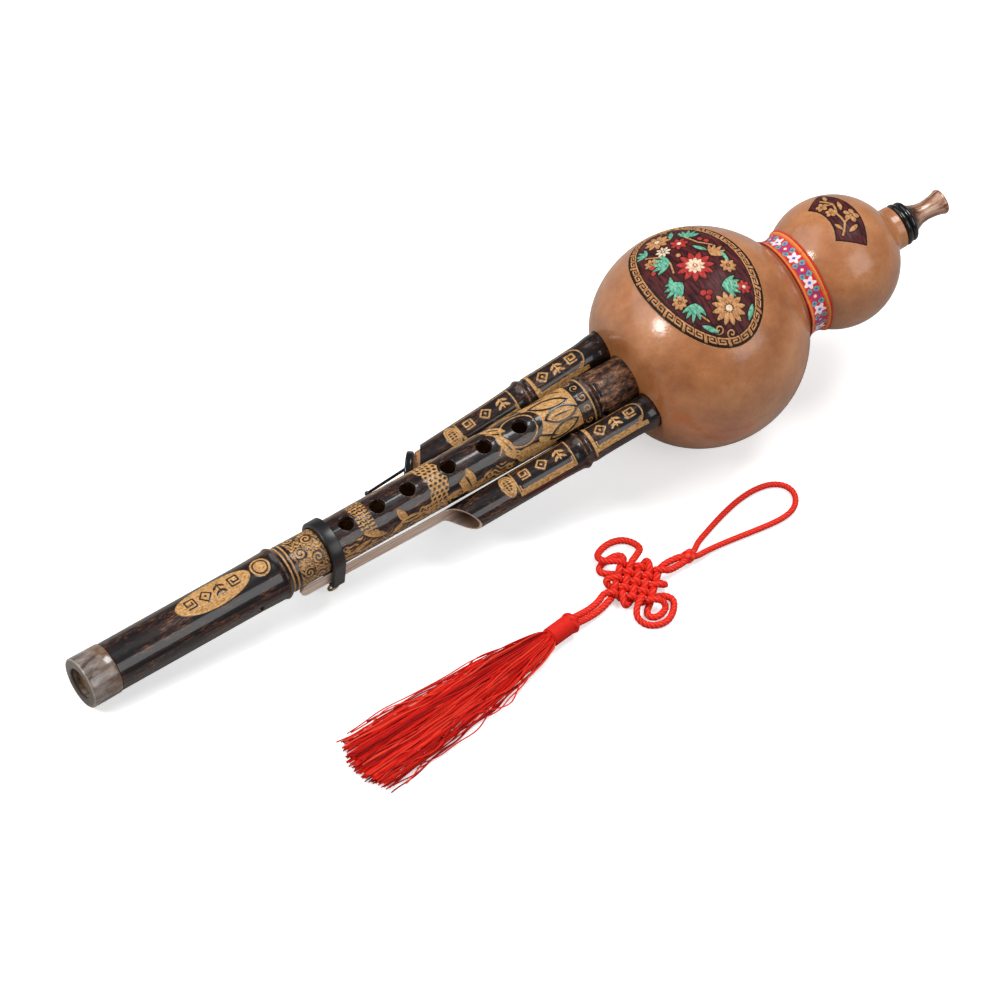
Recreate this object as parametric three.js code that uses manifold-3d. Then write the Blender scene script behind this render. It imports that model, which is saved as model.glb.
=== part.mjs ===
// Hulusi: a gourd wind chest with a fingered bamboo pipe between two drone pipes,
// laid on a table with its red tassel beside it. Millimetres, +Z up.
//
// The instrument is modelled straight in its own frame: x runs from the horn end ring
// up the bamboo to the mouthpiece, +z is the finger-hole side and -y the side of the
// open drone. The whole is then tipped until the gourd and the end ring both touch the table.

import * as THREE from 'three';
import { mergeVertices } from 'three/addons/utils/BufferGeometryUtils.js';
import Module from 'manifold-3d';

const wasm = await Module();
wasm.setup();

// Fits and facets
const clearance = 0.3;
const seatGap = 2 * clearance;
const cutOverrun = 3;
const weldDistance = 0.0005;
const roundSides = 32;
const hollowSides = 24;
const ringSides = 24;
const bulbSteps = 13;
const hollowFineness = 0.7;
const smallSides = 16;
const wireSides = 8;
const halfTurn = Math.PI;
const fullTurn = 2 * Math.PI;

// Gourd
const bigBulbRadius = 46.5;
const smallBulbRadius = 28.3;
const bulbSpacing = 68.9;
const waistFillet = 8.9;
const gourdBaseX = 271;
const gourdFlatDepth = 9;
const gourdFlatSoftness = 3;
const gourdWall = 4;
const neckRadius = 9.4;
const neckFillet = 4;
const neckLength = 4;
const bigBulbX = gourdBaseX + bigBulbRadius - gourdFlatDepth;
const smallBulbX = bigBulbX + bulbSpacing;
const neckEndX = smallBulbX + smallBulbRadius + neckLength;

// Ribbon round the waist
const ribbonWidth = 10.5;
const ribbonThickness = 0.8;

// Neck ring and mouthpiece
const neckRingLength = 5.8;
const neckRingGroove = 0.5;
const mouthpieceLength = 18;
const mouthpieceBore = 1.6;
const mouthpieceBaseRadius = 7;
const mouthpieceWaistRadius = 4.2;
const mouthpieceLipRadius = 5.6;
const mouthpieceLipRound = 1.2;
const tenonRadius = 5;
const tenonLength = 16;
const neckRingX = neckEndX + clearance;
const mouthpieceX = neckRingX + neckRingLength;

// Main pipe
const pipeRadiusLow = 10.8;
const pipeRadiusMiddle = 10.1;
const pipeRadiusTop = 9.9;
const pipeBore = 6.9;
const pipeTopX = 306;
const lowNodeX = 96.7;
const highNodeX = 251.3;
const nodeRise = 0.8;
const nodeRidge = 1.3;
const nodeSwell = 0.35;
const nodeSwellReach = 8;
const scarDepth = 0.4;
const scarReach = 0.9;
const scarOffset = 2.6;
const fingerHoleRadius = 3.5;
const fingerHoleXs = [130.7, 146.1, 161.2, 181.3, 199.3, 217.2];
const thumbHoleRadius = 3.2;
const thumbHoleX = 229;
const toneHoleRadius = 2.8;
const toneHoleXs = [52, 68];
const cordHoleRadius = 1.6;
const cordHoleX = 82;

// Horn ring on the pipe's open end
const ferruleLength = 14;
const ferruleRadius = 11.35;
const ferruleRearRadius = 11.15;
const ferruleEdge = 0.6;
const ferruleLip = 3;
const spigotRadius = 9.1;

// Drones: each runs from its low end beside the main pipe up into the gourd
const droneRadius = 7;
const droneBore = 5.9;
const droneReedBore = 4.6;
const droneLow = { x: 177.8, y: 15.5, z: -9 };
const droneGourd = { x: gourdBaseX, y: 17.8, z: -0.6 };
const droneTopX = 300;
const droneMouthRise = 0.6;
const droneMouthReach = 4;
const nearNodeX = 236.9;
const farNodeX = 231.6;
const droneNodeRise = 0.8;
const tongueEndX = 103.5;
const tongueInnerFace = 5.6;
const tongueBend = 20;
const tongueHoopGap = 0.35;
const tongueHoopAngle = 0.5;
const quillBack = 11.5;
const quillFront = 5;
const quillSteps = 9;
const reedChamberX = 262;

// Hoop round the main pipe and both tongues, with its screw eye
const hoopX = 120.3;
const hoopWidth = 5.8;
const hoopWall = 1.9;
const hoopCorner = 1.8;
const hoopEdge = 0.5;
const eyeY = -8.5;
const eyeRadius = 2.5;
const eyeWire = 0.6;
const eyeShank = 0.75;
const eyeShankLength = 2.6;

// Stopper of the far drone: its head lies parallel to the drone's slanting end
const stopperDepth = 12.5;
const stopperSlant = 0.72;
const stopperHeadT = -4.2;
const stopperStem = 2.4;
const stopperStemLength = 7;
const headRadius = 8.7;
const headThickness = 3;
const headRound = 0.6;
const pullRodRadius = 0.65;
const pullRodLength = 20.6;
const pullRodUp = 7;
const pullRodIn = 1.1;
const pullKnobRadius = 1.1;

// Free reeds in the gourd: a brass plate over a window, with its own tongue
const mainReed = {
  plateLength: 19, plateWidth: 8, plateThickness: 0.8, flatHeight: 8.3,
  slotLength: 14.6, slotWidth: 3, tongueThickness: 0.35, centreX: 290.5,
};
const droneReed = {
  plateLength: 15, plateWidth: 5.6, plateThickness: 0.7, flatHeight: 5.6,
  slotLength: 10.6, slotWidth: 2.4, tongueThickness: 0.35, centreX: 287.5,
};
const plugLength = 6;
const sealDepth = 4;

// Tassel, lying on the table along the open-drone side
const cordRadius = 1.2;
const weaveCordRadius = 0.9;
const loopStep = 3.2;
const loopRoute = [
  [50.4, -66.4, 2.8], [54.6, -63.6, 2.2], [62.8, -60.1, 1.3], [73.5, -56.4, 1.3], [83.3, -53.9, 1.3],
  [92.6, -53.1, 1.3], [99.6, -54.3, 1.3], [104.2, -57.6, 1.3], [105.5, -61.9, 1.3], [103.9, -66.0, 1.3],
  [100.3, -68.9, 1.3], [95.1, -70.3, 1.3], [88.5, -70.5, 1.3], [80.9, -70.0, 1.3], [72.8, -69.3, 1.3],
  [65.4, -68.7, 1.3], [58.5, -68.5, 1.6], [53.5, -69.0, 2.6], [50.4, -69.2, 2.8],
];
const buttonCentre = { x: 46.8, y: -67.6, z: 3.1 };
const buttonLength = 6.4;
const buttonRadius = 2.8;
const buttonCordSpacing = 3;
const knotCentre = { x: 19.4, y: -67.7 };
const knotPitch = 4;
const knotSlant = 0.74;
const knotLift = 1.9;
const knotTurnShare = 1.05;
const knotSteps = 2;
const knotSides = 6;
const headTop = { x: -15.4, y: -71.4 };
const headAxis = { x: -0.9875, y: -0.157 };
const skirtAxis = { x: -0.9927, y: -0.121 };
const tasselHeadLength = 14;
const tasselHeadRadius = 4.4;
const tasselHeadRim = 0.35;
const tasselHeadRibs = 5;
const skirtLength = 107;
const skirtEndWidth = 33;
const skirtEndHeight = 4.6;
const skirtFanShare = 0.52;
const skirtStrandRidges = 22;
const skirtRidge = 0.5;
const skirtSections = 9;

const horn = new THREE.MeshStandardMaterial({ color: '#8a7a66', roughness: 0.28, metalness: 0 });
const paleHorn = new THREE.MeshStandardMaterial({ color: '#c9ab88', roughness: 0.25, metalness: 0 });
const gourdSkin = new THREE.MeshStandardMaterial({ color: '#b98350', roughness: 0.22, metalness: 0 });
const ribbonCloth = new THREE.MeshStandardMaterial({ color: '#d3321f', roughness: 0.8, metalness: 0 });
const blackBamboo = new THREE.MeshStandardMaterial({ color: '#33251f', roughness: 0.3, metalness: 0 });
const blackPlastic = new THREE.MeshStandardMaterial({ color: '#1b1b1e', roughness: 0.35, metalness: 0 });
const corkBark = new THREE.MeshStandardMaterial({ color: '#b98e62', roughness: 0.85, metalness: 0 });
const brassSheet = new THREE.MeshStandardMaterial({ color: '#b8924a', roughness: 0.3, metalness: 1 });
const bronzeWire = new THREE.MeshStandardMaterial({ color: '#9a8a62', roughness: 0.25, metalness: 1 });
const beeswax = new THREE.MeshStandardMaterial({ color: '#7a5a2e', roughness: 0.6, metalness: 0 });
const redCord = new THREE.MeshStandardMaterial({ color: '#d0201c', roughness: 0.7, metalness: 0 });

// Solids and meshes

function toSolid(geometry) {
  geometry.deleteAttribute('normal');
  geometry.deleteAttribute('uv');
  const welded = mergeVertices(geometry, weldDistance);
  const places = welded.attributes.position.array;
  const corners = welded.index.array;
  const kept = [];
  let volume = 0;
  for (let i = 0; i < corners.length; i += 3) {
    const [a, b, c] = [corners[i], corners[i + 1], corners[i + 2]];
    if (a === b || b === c || c === a) continue;
    kept.push(a, b, c);
    const p = new THREE.Vector3().fromArray(places, a * 3);
    const q = new THREE.Vector3().fromArray(places, b * 3);
    const r = new THREE.Vector3().fromArray(places, c * 3);
    volume += p.dot(q.cross(r));
  }
  if (volume < 0) kept.reverse();
  return new wasm.Manifold(new wasm.Mesh({
    numProp: 3,
    vertProperties: Float32Array.from(places),
    triVerts: Uint32Array.from(kept),
  }));
}

function toGeometry(solid) {
  const { vertProperties, triVerts } = solid.getMesh();
  const geometry = new THREE.BufferGeometry();
  geometry.setAttribute('position', new THREE.BufferAttribute(Float32Array.from(vertProperties), 3));
  geometry.setIndex(new THREE.BufferAttribute(Uint32Array.from(triVerts), 1));
  geometry.computeVertexNormals();
  return geometry;
}

function piece(parent, name, solid, material) {
  const mesh = new THREE.Mesh(toGeometry(solid), material);
  mesh.name = name;
  parent.add(mesh);
  return mesh;
}

// A revolved form along x, from [x, radius] points, with a facet facing down
function revolved(profile, sides = roundSides) {
  const points = profile.map(([x, radius]) => new THREE.Vector2(Math.max(radius, 0), x));
  const geometry = new THREE.LatheGeometry(points, sides);
  geometry.rotateZ(-halfTurn / 2);
  geometry.rotateX(halfTurn / sides);
  return geometry;
}

function rod(fromX, toX, radius, sides = smallSides) {
  return revolved([[fromX, 0], [fromX, radius], [toX, radius], [toX, 0]], sides);
}

function block(length, width, height, x, y, z) {
  const geometry = new THREE.BoxGeometry(length, width, height);
  geometry.translate(x, y, z);
  return geometry;
}

function arc(centreX, centreR, radius, fromAngle, toAngle, count) {
  const points = [];
  for (let i = 0; i <= count; i += 1) {
    const angle = fromAngle + (toAngle - fromAngle) * (i / count);
    points.push([centreX + radius * Math.cos(angle), centreR + radius * Math.sin(angle)]);
  }
  return points;
}

function bell(distance, reach) {
  return Math.exp(-((distance / reach) ** 2));
}

// Gourd

// The outline of the gourd set in by a wall: big bulb, waist, small bulb and neck,
// each an arc tangent to the next, with the base softly flattened where the pipes go in
function gourdOutline(inset, neck, fineness = 1) {
  const big = bigBulbRadius - inset;
  const small = smallBulbRadius - inset;
  const waist = waistFillet + inset;
  const throat = neckFillet + inset;
  const bigArm = big + waist;
  const smallArm = small + waist;
  const bigAngle = Math.acos((bigArm ** 2 + bulbSpacing ** 2 - smallArm ** 2) / (2 * bigArm * bulbSpacing));
  const smallAngle = Math.acos((smallArm ** 2 + bulbSpacing ** 2 - bigArm ** 2) / (2 * smallArm * bulbSpacing));
  const neckAngle = Math.asin((neck + throat) / (small + throat));
  const waistX = bigBulbX + bigArm * Math.cos(bigAngle);
  const waistR = bigArm * Math.sin(bigAngle);
  const throatX = smallBulbX + (small + throat) * Math.cos(neckAngle);
  const points = [
    ...arc(bigBulbX, 0, big, halfTurn, bigAngle, Math.round(bulbSteps * fineness)),
    ...arc(waistX, waistR, waist, halfTurn + bigAngle, fullTurn - smallAngle, 4).slice(1),
    ...arc(smallBulbX, 0, small, halfTurn - smallAngle, neckAngle, Math.round(bulbSteps * fineness / 2)).slice(1),
    ...arc(throatX, neck + throat, throat, halfTurn + neckAngle, 1.5 * halfTurn, 3).slice(1),
  ];
  const flatX = gourdBaseX + inset;
  return points.map(([x, radius]) => {
    const softX = (x + flatX + Math.sqrt((x - flatX) ** 2 + gourdFlatSoftness ** 2)) / 2;
    return [softX, Math.abs(radius) < weldDistance ? 0 : radius];
  });
}

function gourdShell() {
  const outside = toSolid(revolved([...gourdOutline(0, neckRadius), [neckEndX, neckRadius], [neckEndX, 0]]));
  const tenonBore = toSolid(rod(smallBulbX, neckEndX + cutOverrun, tenonRadius + clearance, hollowSides));
  return outside.subtract(gourdCavity(gourdWall)).subtract(tenonBore);
}

function gourdCavity(inset) {
  const outline = gourdOutline(inset, tenonRadius, hollowFineness);
  const last = outline[outline.length - 1];
  return toSolid(revolved([...outline, [last[0], 0]], hollowSides));
}

function waistRibbon() {
  const centreX = bigBulbX + (bigBulbRadius + waistFillet)
    * ((bigBulbRadius + waistFillet) ** 2 + bulbSpacing ** 2 - (smallBulbRadius + waistFillet) ** 2)
    / (2 * (bigBulbRadius + waistFillet) * bulbSpacing);
  const waistLow = (offset) => {
    const centreR = Math.sqrt((bigBulbRadius + waistFillet) ** 2 - (centreX - bigBulbX) ** 2);
    return centreR - Math.sqrt(waistFillet ** 2 - Math.min(Math.abs(offset), ribbonWidth / 2) ** 2);
  };
  const shares = [-0.5, -0.25, 0, 0.25, 0.5];
  const inner = shares.map((share) => {
    const offset = share * ribbonWidth;
    return [centreX + offset, waistLow(offset) + seatGap];
  });
  const outer = inner.map(([x, radius]) => [x, radius + ribbonThickness]).reverse();
  return toSolid(revolved([...inner, ...outer, inner[0]]));
}

// Neck ring and mouthpiece

function neckRing() {
  const bead = neckRingLength / 4;
  const crest = neckRadius - bead;
  const hole = mouthpieceBaseRadius + clearance;
  const beads = [
    ...arc(neckRingX + bead, crest, bead, halfTurn, 0, 4),
    ...arc(neckRingX + 3 * bead, crest - neckRingGroove, bead, halfTurn, 0, 4),
  ];
  const step = tenonRadius + clearance;
  return toSolid(revolved([
    [neckRingX, step], ...beads, [neckRingX + neckRingLength, hole],
    [neckRingX + neckRingLength / 2, hole], [neckRingX + neckRingLength / 2, step], [neckRingX, step],
  ], ringSides));
}

function mouthpieceProfile() {
  const shares = [0, 0.1, 0.22, 0.36, 0.5, 0.64, 0.8, 0.92];
  const radii = [1, 0.86, 0.7, 0.62, 0.6, 0.61, 0.68, 0.76];
  const scale = (share, k) => {
    if (share < 0.5) return mouthpieceWaistRadius + (mouthpieceBaseRadius - mouthpieceWaistRadius) * (radii[k] - 0.6) / 0.4;
    return mouthpieceWaistRadius + (mouthpieceLipRadius - mouthpieceWaistRadius) * (radii[k] - 0.6) / 0.16;
  };
  return shares.map((share, k) => [mouthpieceX + share * mouthpieceLength, scale(share, k)]);
}

function mouthpiece() {
  const tipX = mouthpieceX + mouthpieceLength;
  const socketX = neckRingX + neckRingLength / 2 + clearance;
  const lip = arc(tipX - mouthpieceLipRound, mouthpieceLipRadius - mouthpieceLipRound,
    mouthpieceLipRound, halfTurn / 3, 0, 2);
  return toSolid(revolved([
    [neckEndX - tenonLength, mouthpieceBore], [neckEndX - tenonLength, tenonRadius],
    [socketX, tenonRadius], [socketX, mouthpieceBaseRadius], ...mouthpieceProfile(),
    ...lip, [tipX, mouthpieceBore], [neckEndX - tenonLength, mouthpieceBore],
  ], ringSides));
}

// Main pipe

function pipeOutside(x) {
  const past = 1 / (1 + Math.exp(-(x - lowNodeX) / nodeRidge));
  const upper = pipeRadiusMiddle + (pipeRadiusTop - pipeRadiusMiddle) * (x - lowNodeX) / (gourdBaseX - lowNodeX);
  let radius = pipeRadiusLow + (upper - pipeRadiusLow) * past;
  for (const nodeX of [lowNodeX, highNodeX]) {
    radius += nodeRise * bell(x - nodeX, nodeRidge) + nodeSwell * bell(x - nodeX, nodeSwellReach);
    radius -= scarDepth * bell(x - nodeX - scarOffset, scarReach);
  }
  return radius;
}

function nodeStations(nodeX) {
  const swell = [-1.6, -0.8].map((share) => nodeX + share * nodeSwellReach);
  const ridge = [-1.6, -0.8, 0, 0.8].map((share) => nodeX + share * nodeRidge);
  const scar = [nodeX + scarOffset, nodeX + scarOffset + 1.6 * scarReach];
  const after = [0.9, 1.7].map((share) => nodeX + share * nodeSwellReach);
  return [...swell, ...ridge, ...scar, ...after];
}

const pipeStations = [
  ...nodeStations(lowNodeX),
  ...nodeStations(highNodeX),
].sort((a, b) => a - b);

function pipeEnvelope(gap) {
  const stations = [ferruleLength, ...pipeStations, pipeTopX + cutOverrun];
  const outline = stations.map((x) => [x, pipeOutside(x) + gap]);
  return toSolid(revolved([[stations[0], 0], ...outline, [pipeTopX + cutOverrun, 0]]));
}

function hole(x, radius, fromZ, toZ) {
  const geometry = rod(fromZ, toZ, radius);
  geometry.rotateY(-halfTurn / 2);
  geometry.translate(x, 0, 0);
  return toSolid(geometry);
}

function mainPipe() {
  const spigotX = ferruleLip + clearance;
  const shoulderX = ferruleLength + clearance;
  const outside = [shoulderX, ...pipeStations, pipeTopX].map((x) => [x, pipeOutside(x)]);
  let pipe = toSolid(revolved([
    [spigotX, pipeBore], [spigotX, spigotRadius], [shoulderX, spigotRadius], ...outside,
    [pipeTopX, pipeBore], [spigotX, pipeBore],
  ]));
  const reach = pipeRadiusLow + cutOverrun;
  for (const x of fingerHoleXs) pipe = pipe.subtract(hole(x, fingerHoleRadius, 0, reach));
  for (const x of toneHoleXs) pipe = pipe.subtract(hole(x, toneHoleRadius, -reach, 0));
  pipe = pipe.subtract(hole(thumbHoleX, thumbHoleRadius, -reach, 0));
  const cordHole = rod(-reach, reach, cordHoleRadius, wireSides);
  cordHole.rotateZ(halfTurn / 2);
  cordHole.translate(cordHoleX, 0, 0);
  pipe = pipe.subtract(toSolid(cordHole));
  return cutReedSeat(pipe, mainReed, pipeTopX);
}

function endFerrule() {
  return toSolid(revolved([
    [0, pipeBore], [0, ferruleRadius - ferruleEdge], [ferruleEdge, ferruleRadius],
    [ferruleLength, ferruleRearRadius], [ferruleLength, spigotRadius + clearance],
    [ferruleLip, spigotRadius + clearance], [ferruleLip, pipeBore], [0, pipeBore],
  ]));
}

// Free reeds

function cutReedSeat(pipe, reed, topX) {
  const flatFromX = reed.centreX - reed.plateLength / 2 - clearance;
  const flatLength = topX + cutOverrun - flatFromX;
  const flat = block(flatLength, 2 * pipeRadiusLow, pipeRadiusLow,
    flatFromX + flatLength / 2, 0, reed.flatHeight + pipeRadiusLow / 2);
  const window = block(reed.slotLength, reed.slotWidth + 2 * clearance, reed.flatHeight,
    reed.centreX, 0, reed.flatHeight / 2 + cutOverrun / 2);
  return pipe.subtract(toSolid(flat)).subtract(toSolid(window));
}

function reedPlate(reed) {
  const middle = reed.flatHeight + clearance + reed.plateThickness / 2;
  const plate = toSolid(block(reed.plateLength, reed.plateWidth, reed.plateThickness, reed.centreX, 0, middle));
  return plate.subtract(toSolid(block(reed.slotLength, reed.slotWidth, cutOverrun, reed.centreX, 0, middle)));
}

function reedTongue(reed) {
  const middle = reed.flatHeight + clearance + reed.plateThickness / 2;
  const root = reed.slotWidth / 2 - clearance;
  const tip = root / 2;
  const half = reed.slotLength / 2 - clearance;
  const outline = new THREE.Shape();
  outline.moveTo(-half, -tip);
  outline.lineTo(half, -root);
  outline.lineTo(half, root);
  outline.lineTo(-half, tip);
  const geometry = new THREE.ExtrudeGeometry(outline, { depth: reed.tongueThickness, bevelEnabled: false });
  geometry.translate(reed.centreX, 0, middle - reed.tongueThickness / 2);
  return toSolid(geometry);
}

// Drones. side is -1 for the open drone in front and +1 for the stopped drone behind.

function droneFrame(side) {
  const along = new THREE.Vector3(
    droneGourd.x - droneLow.x,
    side * (droneGourd.y - droneLow.y),
    droneGourd.z - droneLow.z,
  ).normalize();
  const across = new THREE.Vector3(0, 0, 1).cross(along).normalize();
  const up = along.clone().cross(across);
  return new THREE.Matrix4()
    .makeBasis(along, across, up)
    .setPosition(droneLow.x, side * droneLow.y, droneLow.z);
}

function droneAlong(x) {
  const run = droneGourd.x - droneLow.x;
  const length = Math.hypot(run, droneGourd.y - droneLow.y, droneGourd.z - droneLow.z);
  return (x - droneLow.x) * length / run;
}

function droneOutside(t, nodeT) {
  const mouthT = droneAlong(gourdBaseX) - droneMouthReach / 2;
  return droneRadius + droneMouthRise * bell(t - mouthT, droneMouthReach)
    + droneNodeRise * bell(t - nodeT, nodeRidge) + nodeSwell * bell(t - nodeT, nodeSwellReach)
    - scarDepth * bell(t - nodeT - scarOffset, scarReach);
}

function droneStations(nodeX) {
  const nodeT = droneAlong(nodeX);
  const mouthT = droneAlong(gourdBaseX) - droneMouthReach / 2;
  const mouth = [-1.5, -0.7, 0, 0.9, 1.8].map((share) => mouthT + share * droneMouthReach);
  return [...nodeStations(nodeT), ...mouth];
}

function droneEnvelope(side, nodeX, gap) {
  const nodeT = droneAlong(nodeX);
  const stations = [0, ...droneStations(nodeX), droneAlong(droneTopX) + cutOverrun];
  const outline = stations.map((t) => [t, droneOutside(t, nodeT) + gap]);
  const last = stations[stations.length - 1];
  const geometry = revolved([[0, 0], ...outline, [last, 0]]);
  geometry.applyMatrix4(droneFrame(side));
  return toSolid(geometry);
}

// The prism that a tongue and its drone are cut from: wide over the drone, as wide
// as the tongue below it, and round at the tongue's end
function tongueOutlinePrism() {
  const endT = droneAlong(tongueEndX);
  const topT = droneAlong(droneTopX) + cutOverrun;
  const wide = droneRadius + cutOverrun;
  const half = Math.sqrt(droneRadius ** 2 - tongueInnerFace ** 2) + clearance;
  const outline = new THREE.Shape();
  outline.moveTo(topT, -wide);
  outline.lineTo(-wide, -wide);
  outline.lineTo(-wide, -half);
  outline.lineTo(endT + half, -half);
  outline.absarc(endT + half, 0, half, -halfTurn / 2, halfTurn / 2, true);
  outline.lineTo(-wide, half);
  outline.lineTo(-wide, wide);
  outline.lineTo(topT, wide);
  const geometry = new THREE.ExtrudeGeometry(outline, { depth: 2 * wide, bevelEnabled: false, curveSegments: 8 });
  geometry.translate(0, 0, -wide);
  geometry.rotateX(halfTurn / 2);
  return toSolid(geometry);
}

// What is cut away below a drone's end, drawn in the plane of its axis and the main pipe:
// the end slants in an S from its outer lip down to the tongue, like a quill
function tongueCutter(side) {
  const endT = droneAlong(tongueEndX) - cutOverrun;
  const wide = droneRadius + cutOverrun;
  const inward = -side;
  const outline = new THREE.Shape();
  outline.moveTo(endT, -inward * wide);
  outline.lineTo(endT, inward * tongueInnerFace);
  for (let i = 0; i <= quillSteps; i += 1) {
    const share = i / quillSteps;
    const swing = (1 + Math.cos(halfTurn * share)) / 2;
    const h = -wide + (tongueInnerFace + wide) * swing;
    outline.lineTo(-quillFront + (quillBack + quillFront) * share, inward * h);
  }
  const geometry = new THREE.ExtrudeGeometry(outline, { depth: 2 * wide, bevelEnabled: false });
  geometry.translate(0, 0, -wide);
  return toSolid(geometry);
}

// How far a point this far below the drone's end is bent off the drone's straight line
function tongueEase(distance) {
  if (distance <= 0) return 0;
  if (distance < tongueBend) return distance ** 2 / (2 * tongueBend);
  return distance - tongueBend / 2;
}

function bendTongue(geometry, side) {
  const hoopDistance = -droneAlong(hoopX);
  const reach = pipeOutside(hoopX) + droneRadius + tongueHoopGap;
  const slopeY = (droneGourd.y - droneLow.y) / (droneGourd.x - droneLow.x);
  const slopeZ = (droneGourd.z - droneLow.z) / (droneGourd.x - droneLow.x);
  const straightY = droneLow.y - slopeY * (droneLow.x - hoopX);
  const straightZ = droneLow.z - slopeZ * (droneLow.x - hoopX);
  const spread = (reach * Math.cos(tongueHoopAngle) - straightY) / tongueEase(hoopDistance);
  const lift = (-reach * Math.sin(tongueHoopAngle) - straightZ) / tongueEase(hoopDistance);
  const places = geometry.attributes.position;
  for (let i = 0; i < places.count; i += 1) {
    const ease = tongueEase(-places.getX(i));
    places.setY(i, places.getY(i) + side * spread * ease);
    places.setZ(i, places.getZ(i) + lift * ease);
  }
}

function drone(side, nodeX, reed) {
  const nodeT = droneAlong(nodeX);
  const endT = droneAlong(tongueEndX);
  const topT = droneAlong(droneTopX);
  const chamberT = droneAlong(reedChamberX);
  const tongueStations = [1, 0.86, 0.72, 0.58, 0.44, 0.3, 0.2, 0.1, 0].map((share) => share * endT);
  const stations = [...tongueStations, ...droneStations(nodeX), topT];
  const outside = stations.map((t) => [t, droneOutside(t, nodeT)]);
  const inside = tongueStations.map((t) => [t, droneBore]).reverse();
  let body = toSolid(revolved([
    ...outside, [topT, droneReedBore], [chamberT, droneReedBore], [chamberT, droneBore], ...inside, outside[0],
  ], ringSides));
  body = body.intersect(tongueOutlinePrism()).subtract(tongueCutter(side));
  if (reed) body = cutReedSeat(body, reed, topT);
  const geometry = toGeometry(body);
  bendTongue(geometry, side);
  geometry.applyMatrix4(droneFrame(side));
  return toSolid(geometry).subtract(pipeEnvelope(clearance));
}

function inDroneFrame(solid, side) {
  const geometry = toGeometry(solid);
  geometry.applyMatrix4(droneFrame(side));
  return toSolid(geometry);
}

function mainPipePlug() {
  const plug = toSolid(rod(pipeTopX - plugLength, pipeTopX, pipeBore - clearance));
  const aboveFlat = block(4 * plugLength, 2 * pipeRadiusLow, pipeRadiusLow,
    pipeTopX, 0, mainReed.flatHeight - clearance + pipeRadiusLow / 2);
  return plug.subtract(toSolid(aboveFlat));
}

function dronePlug(side) {
  const topT = droneAlong(droneTopX);
  return inDroneFrame(toSolid(rod(topT - plugLength, topT, droneReedBore - clearance)), side);
}

// Wax run round the three pipes where they pass through the gourd's base
function pipeSeal() {
  const cavity = gourdCavity(gourdWall + clearance);
  const reach = droneGourd.y + droneRadius + clearance;
  const length = gourdWall + sealDepth;
  const slab = toSolid(block(length, 2 * reach, 2 * pipeRadiusLow + clearance, gourdBaseX + length / 2, 0, 0));
  return cavity.intersect(slab)
    .subtract(pipeEnvelope(clearance))
    .subtract(droneEnvelope(-1, nearNodeX, clearance))
    .subtract(droneEnvelope(1, farNodeX, clearance));
}

// Hoop and its screw eye

function hoopOutline(grow) {
  const half = pipeOutside(hoopX) + clearance + grow;
  const tongueLow = (pipeOutside(hoopX) + droneRadius + tongueHoopGap) * Math.sin(tongueHoopAngle)
    + Math.sqrt(droneRadius ** 2 - tongueInnerFace ** 2);
  const low = -(tongueLow + clearance + grow);
  const corner = hoopCorner * (grow > 0 ? 1 : 0.5);
  const outline = new THREE.Path();
  outline.moveTo(half, 0);
  outline.absarc(0, 0, half, 0, halfTurn, false);
  outline.lineTo(-half, low + corner);
  outline.absarc(-half + corner, low + corner, corner, halfTurn, 1.5 * halfTurn, false);
  outline.lineTo(half - corner, low);
  outline.absarc(half - corner, low + corner, corner, 1.5 * halfTurn, fullTurn, false);
  outline.lineTo(half, 0);
  return { outline, low };
}

function acrossPipe(geometry, x) {
  const basis = new THREE.Matrix4().makeBasis(
    new THREE.Vector3(0, 1, 0), new THREE.Vector3(0, 0, 1), new THREE.Vector3(1, 0, 0),
  );
  geometry.applyMatrix4(basis);
  geometry.translate(x, 0, 0);
  return geometry;
}

function tongueHoop() {
  const shape = new THREE.Shape(hoopOutline(hoopWall).outline.getPoints(7));
  shape.holes.push(new THREE.Path(hoopOutline(0).outline.getPoints(7)));
  const geometry = new THREE.ExtrudeGeometry(shape, {
    depth: hoopWidth - 2 * hoopEdge, bevelEnabled: true, bevelThickness: hoopEdge,
    bevelSize: hoopEdge, bevelOffset: -hoopEdge, bevelSegments: 1,
  });
  geometry.translate(0, 0, hoopEdge - hoopWidth / 2);
  const ring = toSolid(acrossPipe(geometry, hoopX));
  const low = hoopOutline(hoopWall).low;
  const eyeHole = rod(low - cutOverrun, low + hoopWall / 2, eyeShank + clearance, 12);
  eyeHole.rotateY(-halfTurn / 2);
  eyeHole.translate(hoopX, eyeY, 0);
  return ring.subtract(toSolid(eyeHole));
}

function hangerEye() {
  const low = hoopOutline(hoopWall).low;
  const shankTop = low + hoopWall / 2 - clearance;
  const ring = new THREE.TorusGeometry(eyeRadius, eyeWire, wireSides, 20);
  ring.rotateX(halfTurn / 2);
  ring.translate(hoopX, eyeY, shankTop - eyeShankLength - eyeRadius);
  const shank = rod(shankTop - eyeShankLength - eyeWire / 2, shankTop, eyeShank, 12);
  shank.rotateY(-halfTurn / 2);
  shank.translate(hoopX, eyeY, 0);
  return toSolid(ring).add(toSolid(shank));
}

// Stopper of the far drone, in that drone's frame: cork in the bore, slanting head, pull rod

function onStopperSlant(geometry) {
  geometry.rotateZ(-stopperSlant);
  geometry.translate(stopperHeadT, 0, 0);
  return toSolid(geometry);
}

// All that lies farther out than a plane parallel to the head, this far in from its middle
function pastStopperPlane(inward) {
  const reach = 4 * headRadius;
  return onStopperSlant(block(reach, reach, reach, inward - reach / 2, 0, 0));
}

// The flat that lets the stopper slide past the drone's tongue
function tongueSideFlat() {
  const reach = 6 * headRadius;
  return toSolid(block(reach, reach, reach, 0, seatGap - tongueInnerFace - reach / 2, 0));
}

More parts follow.
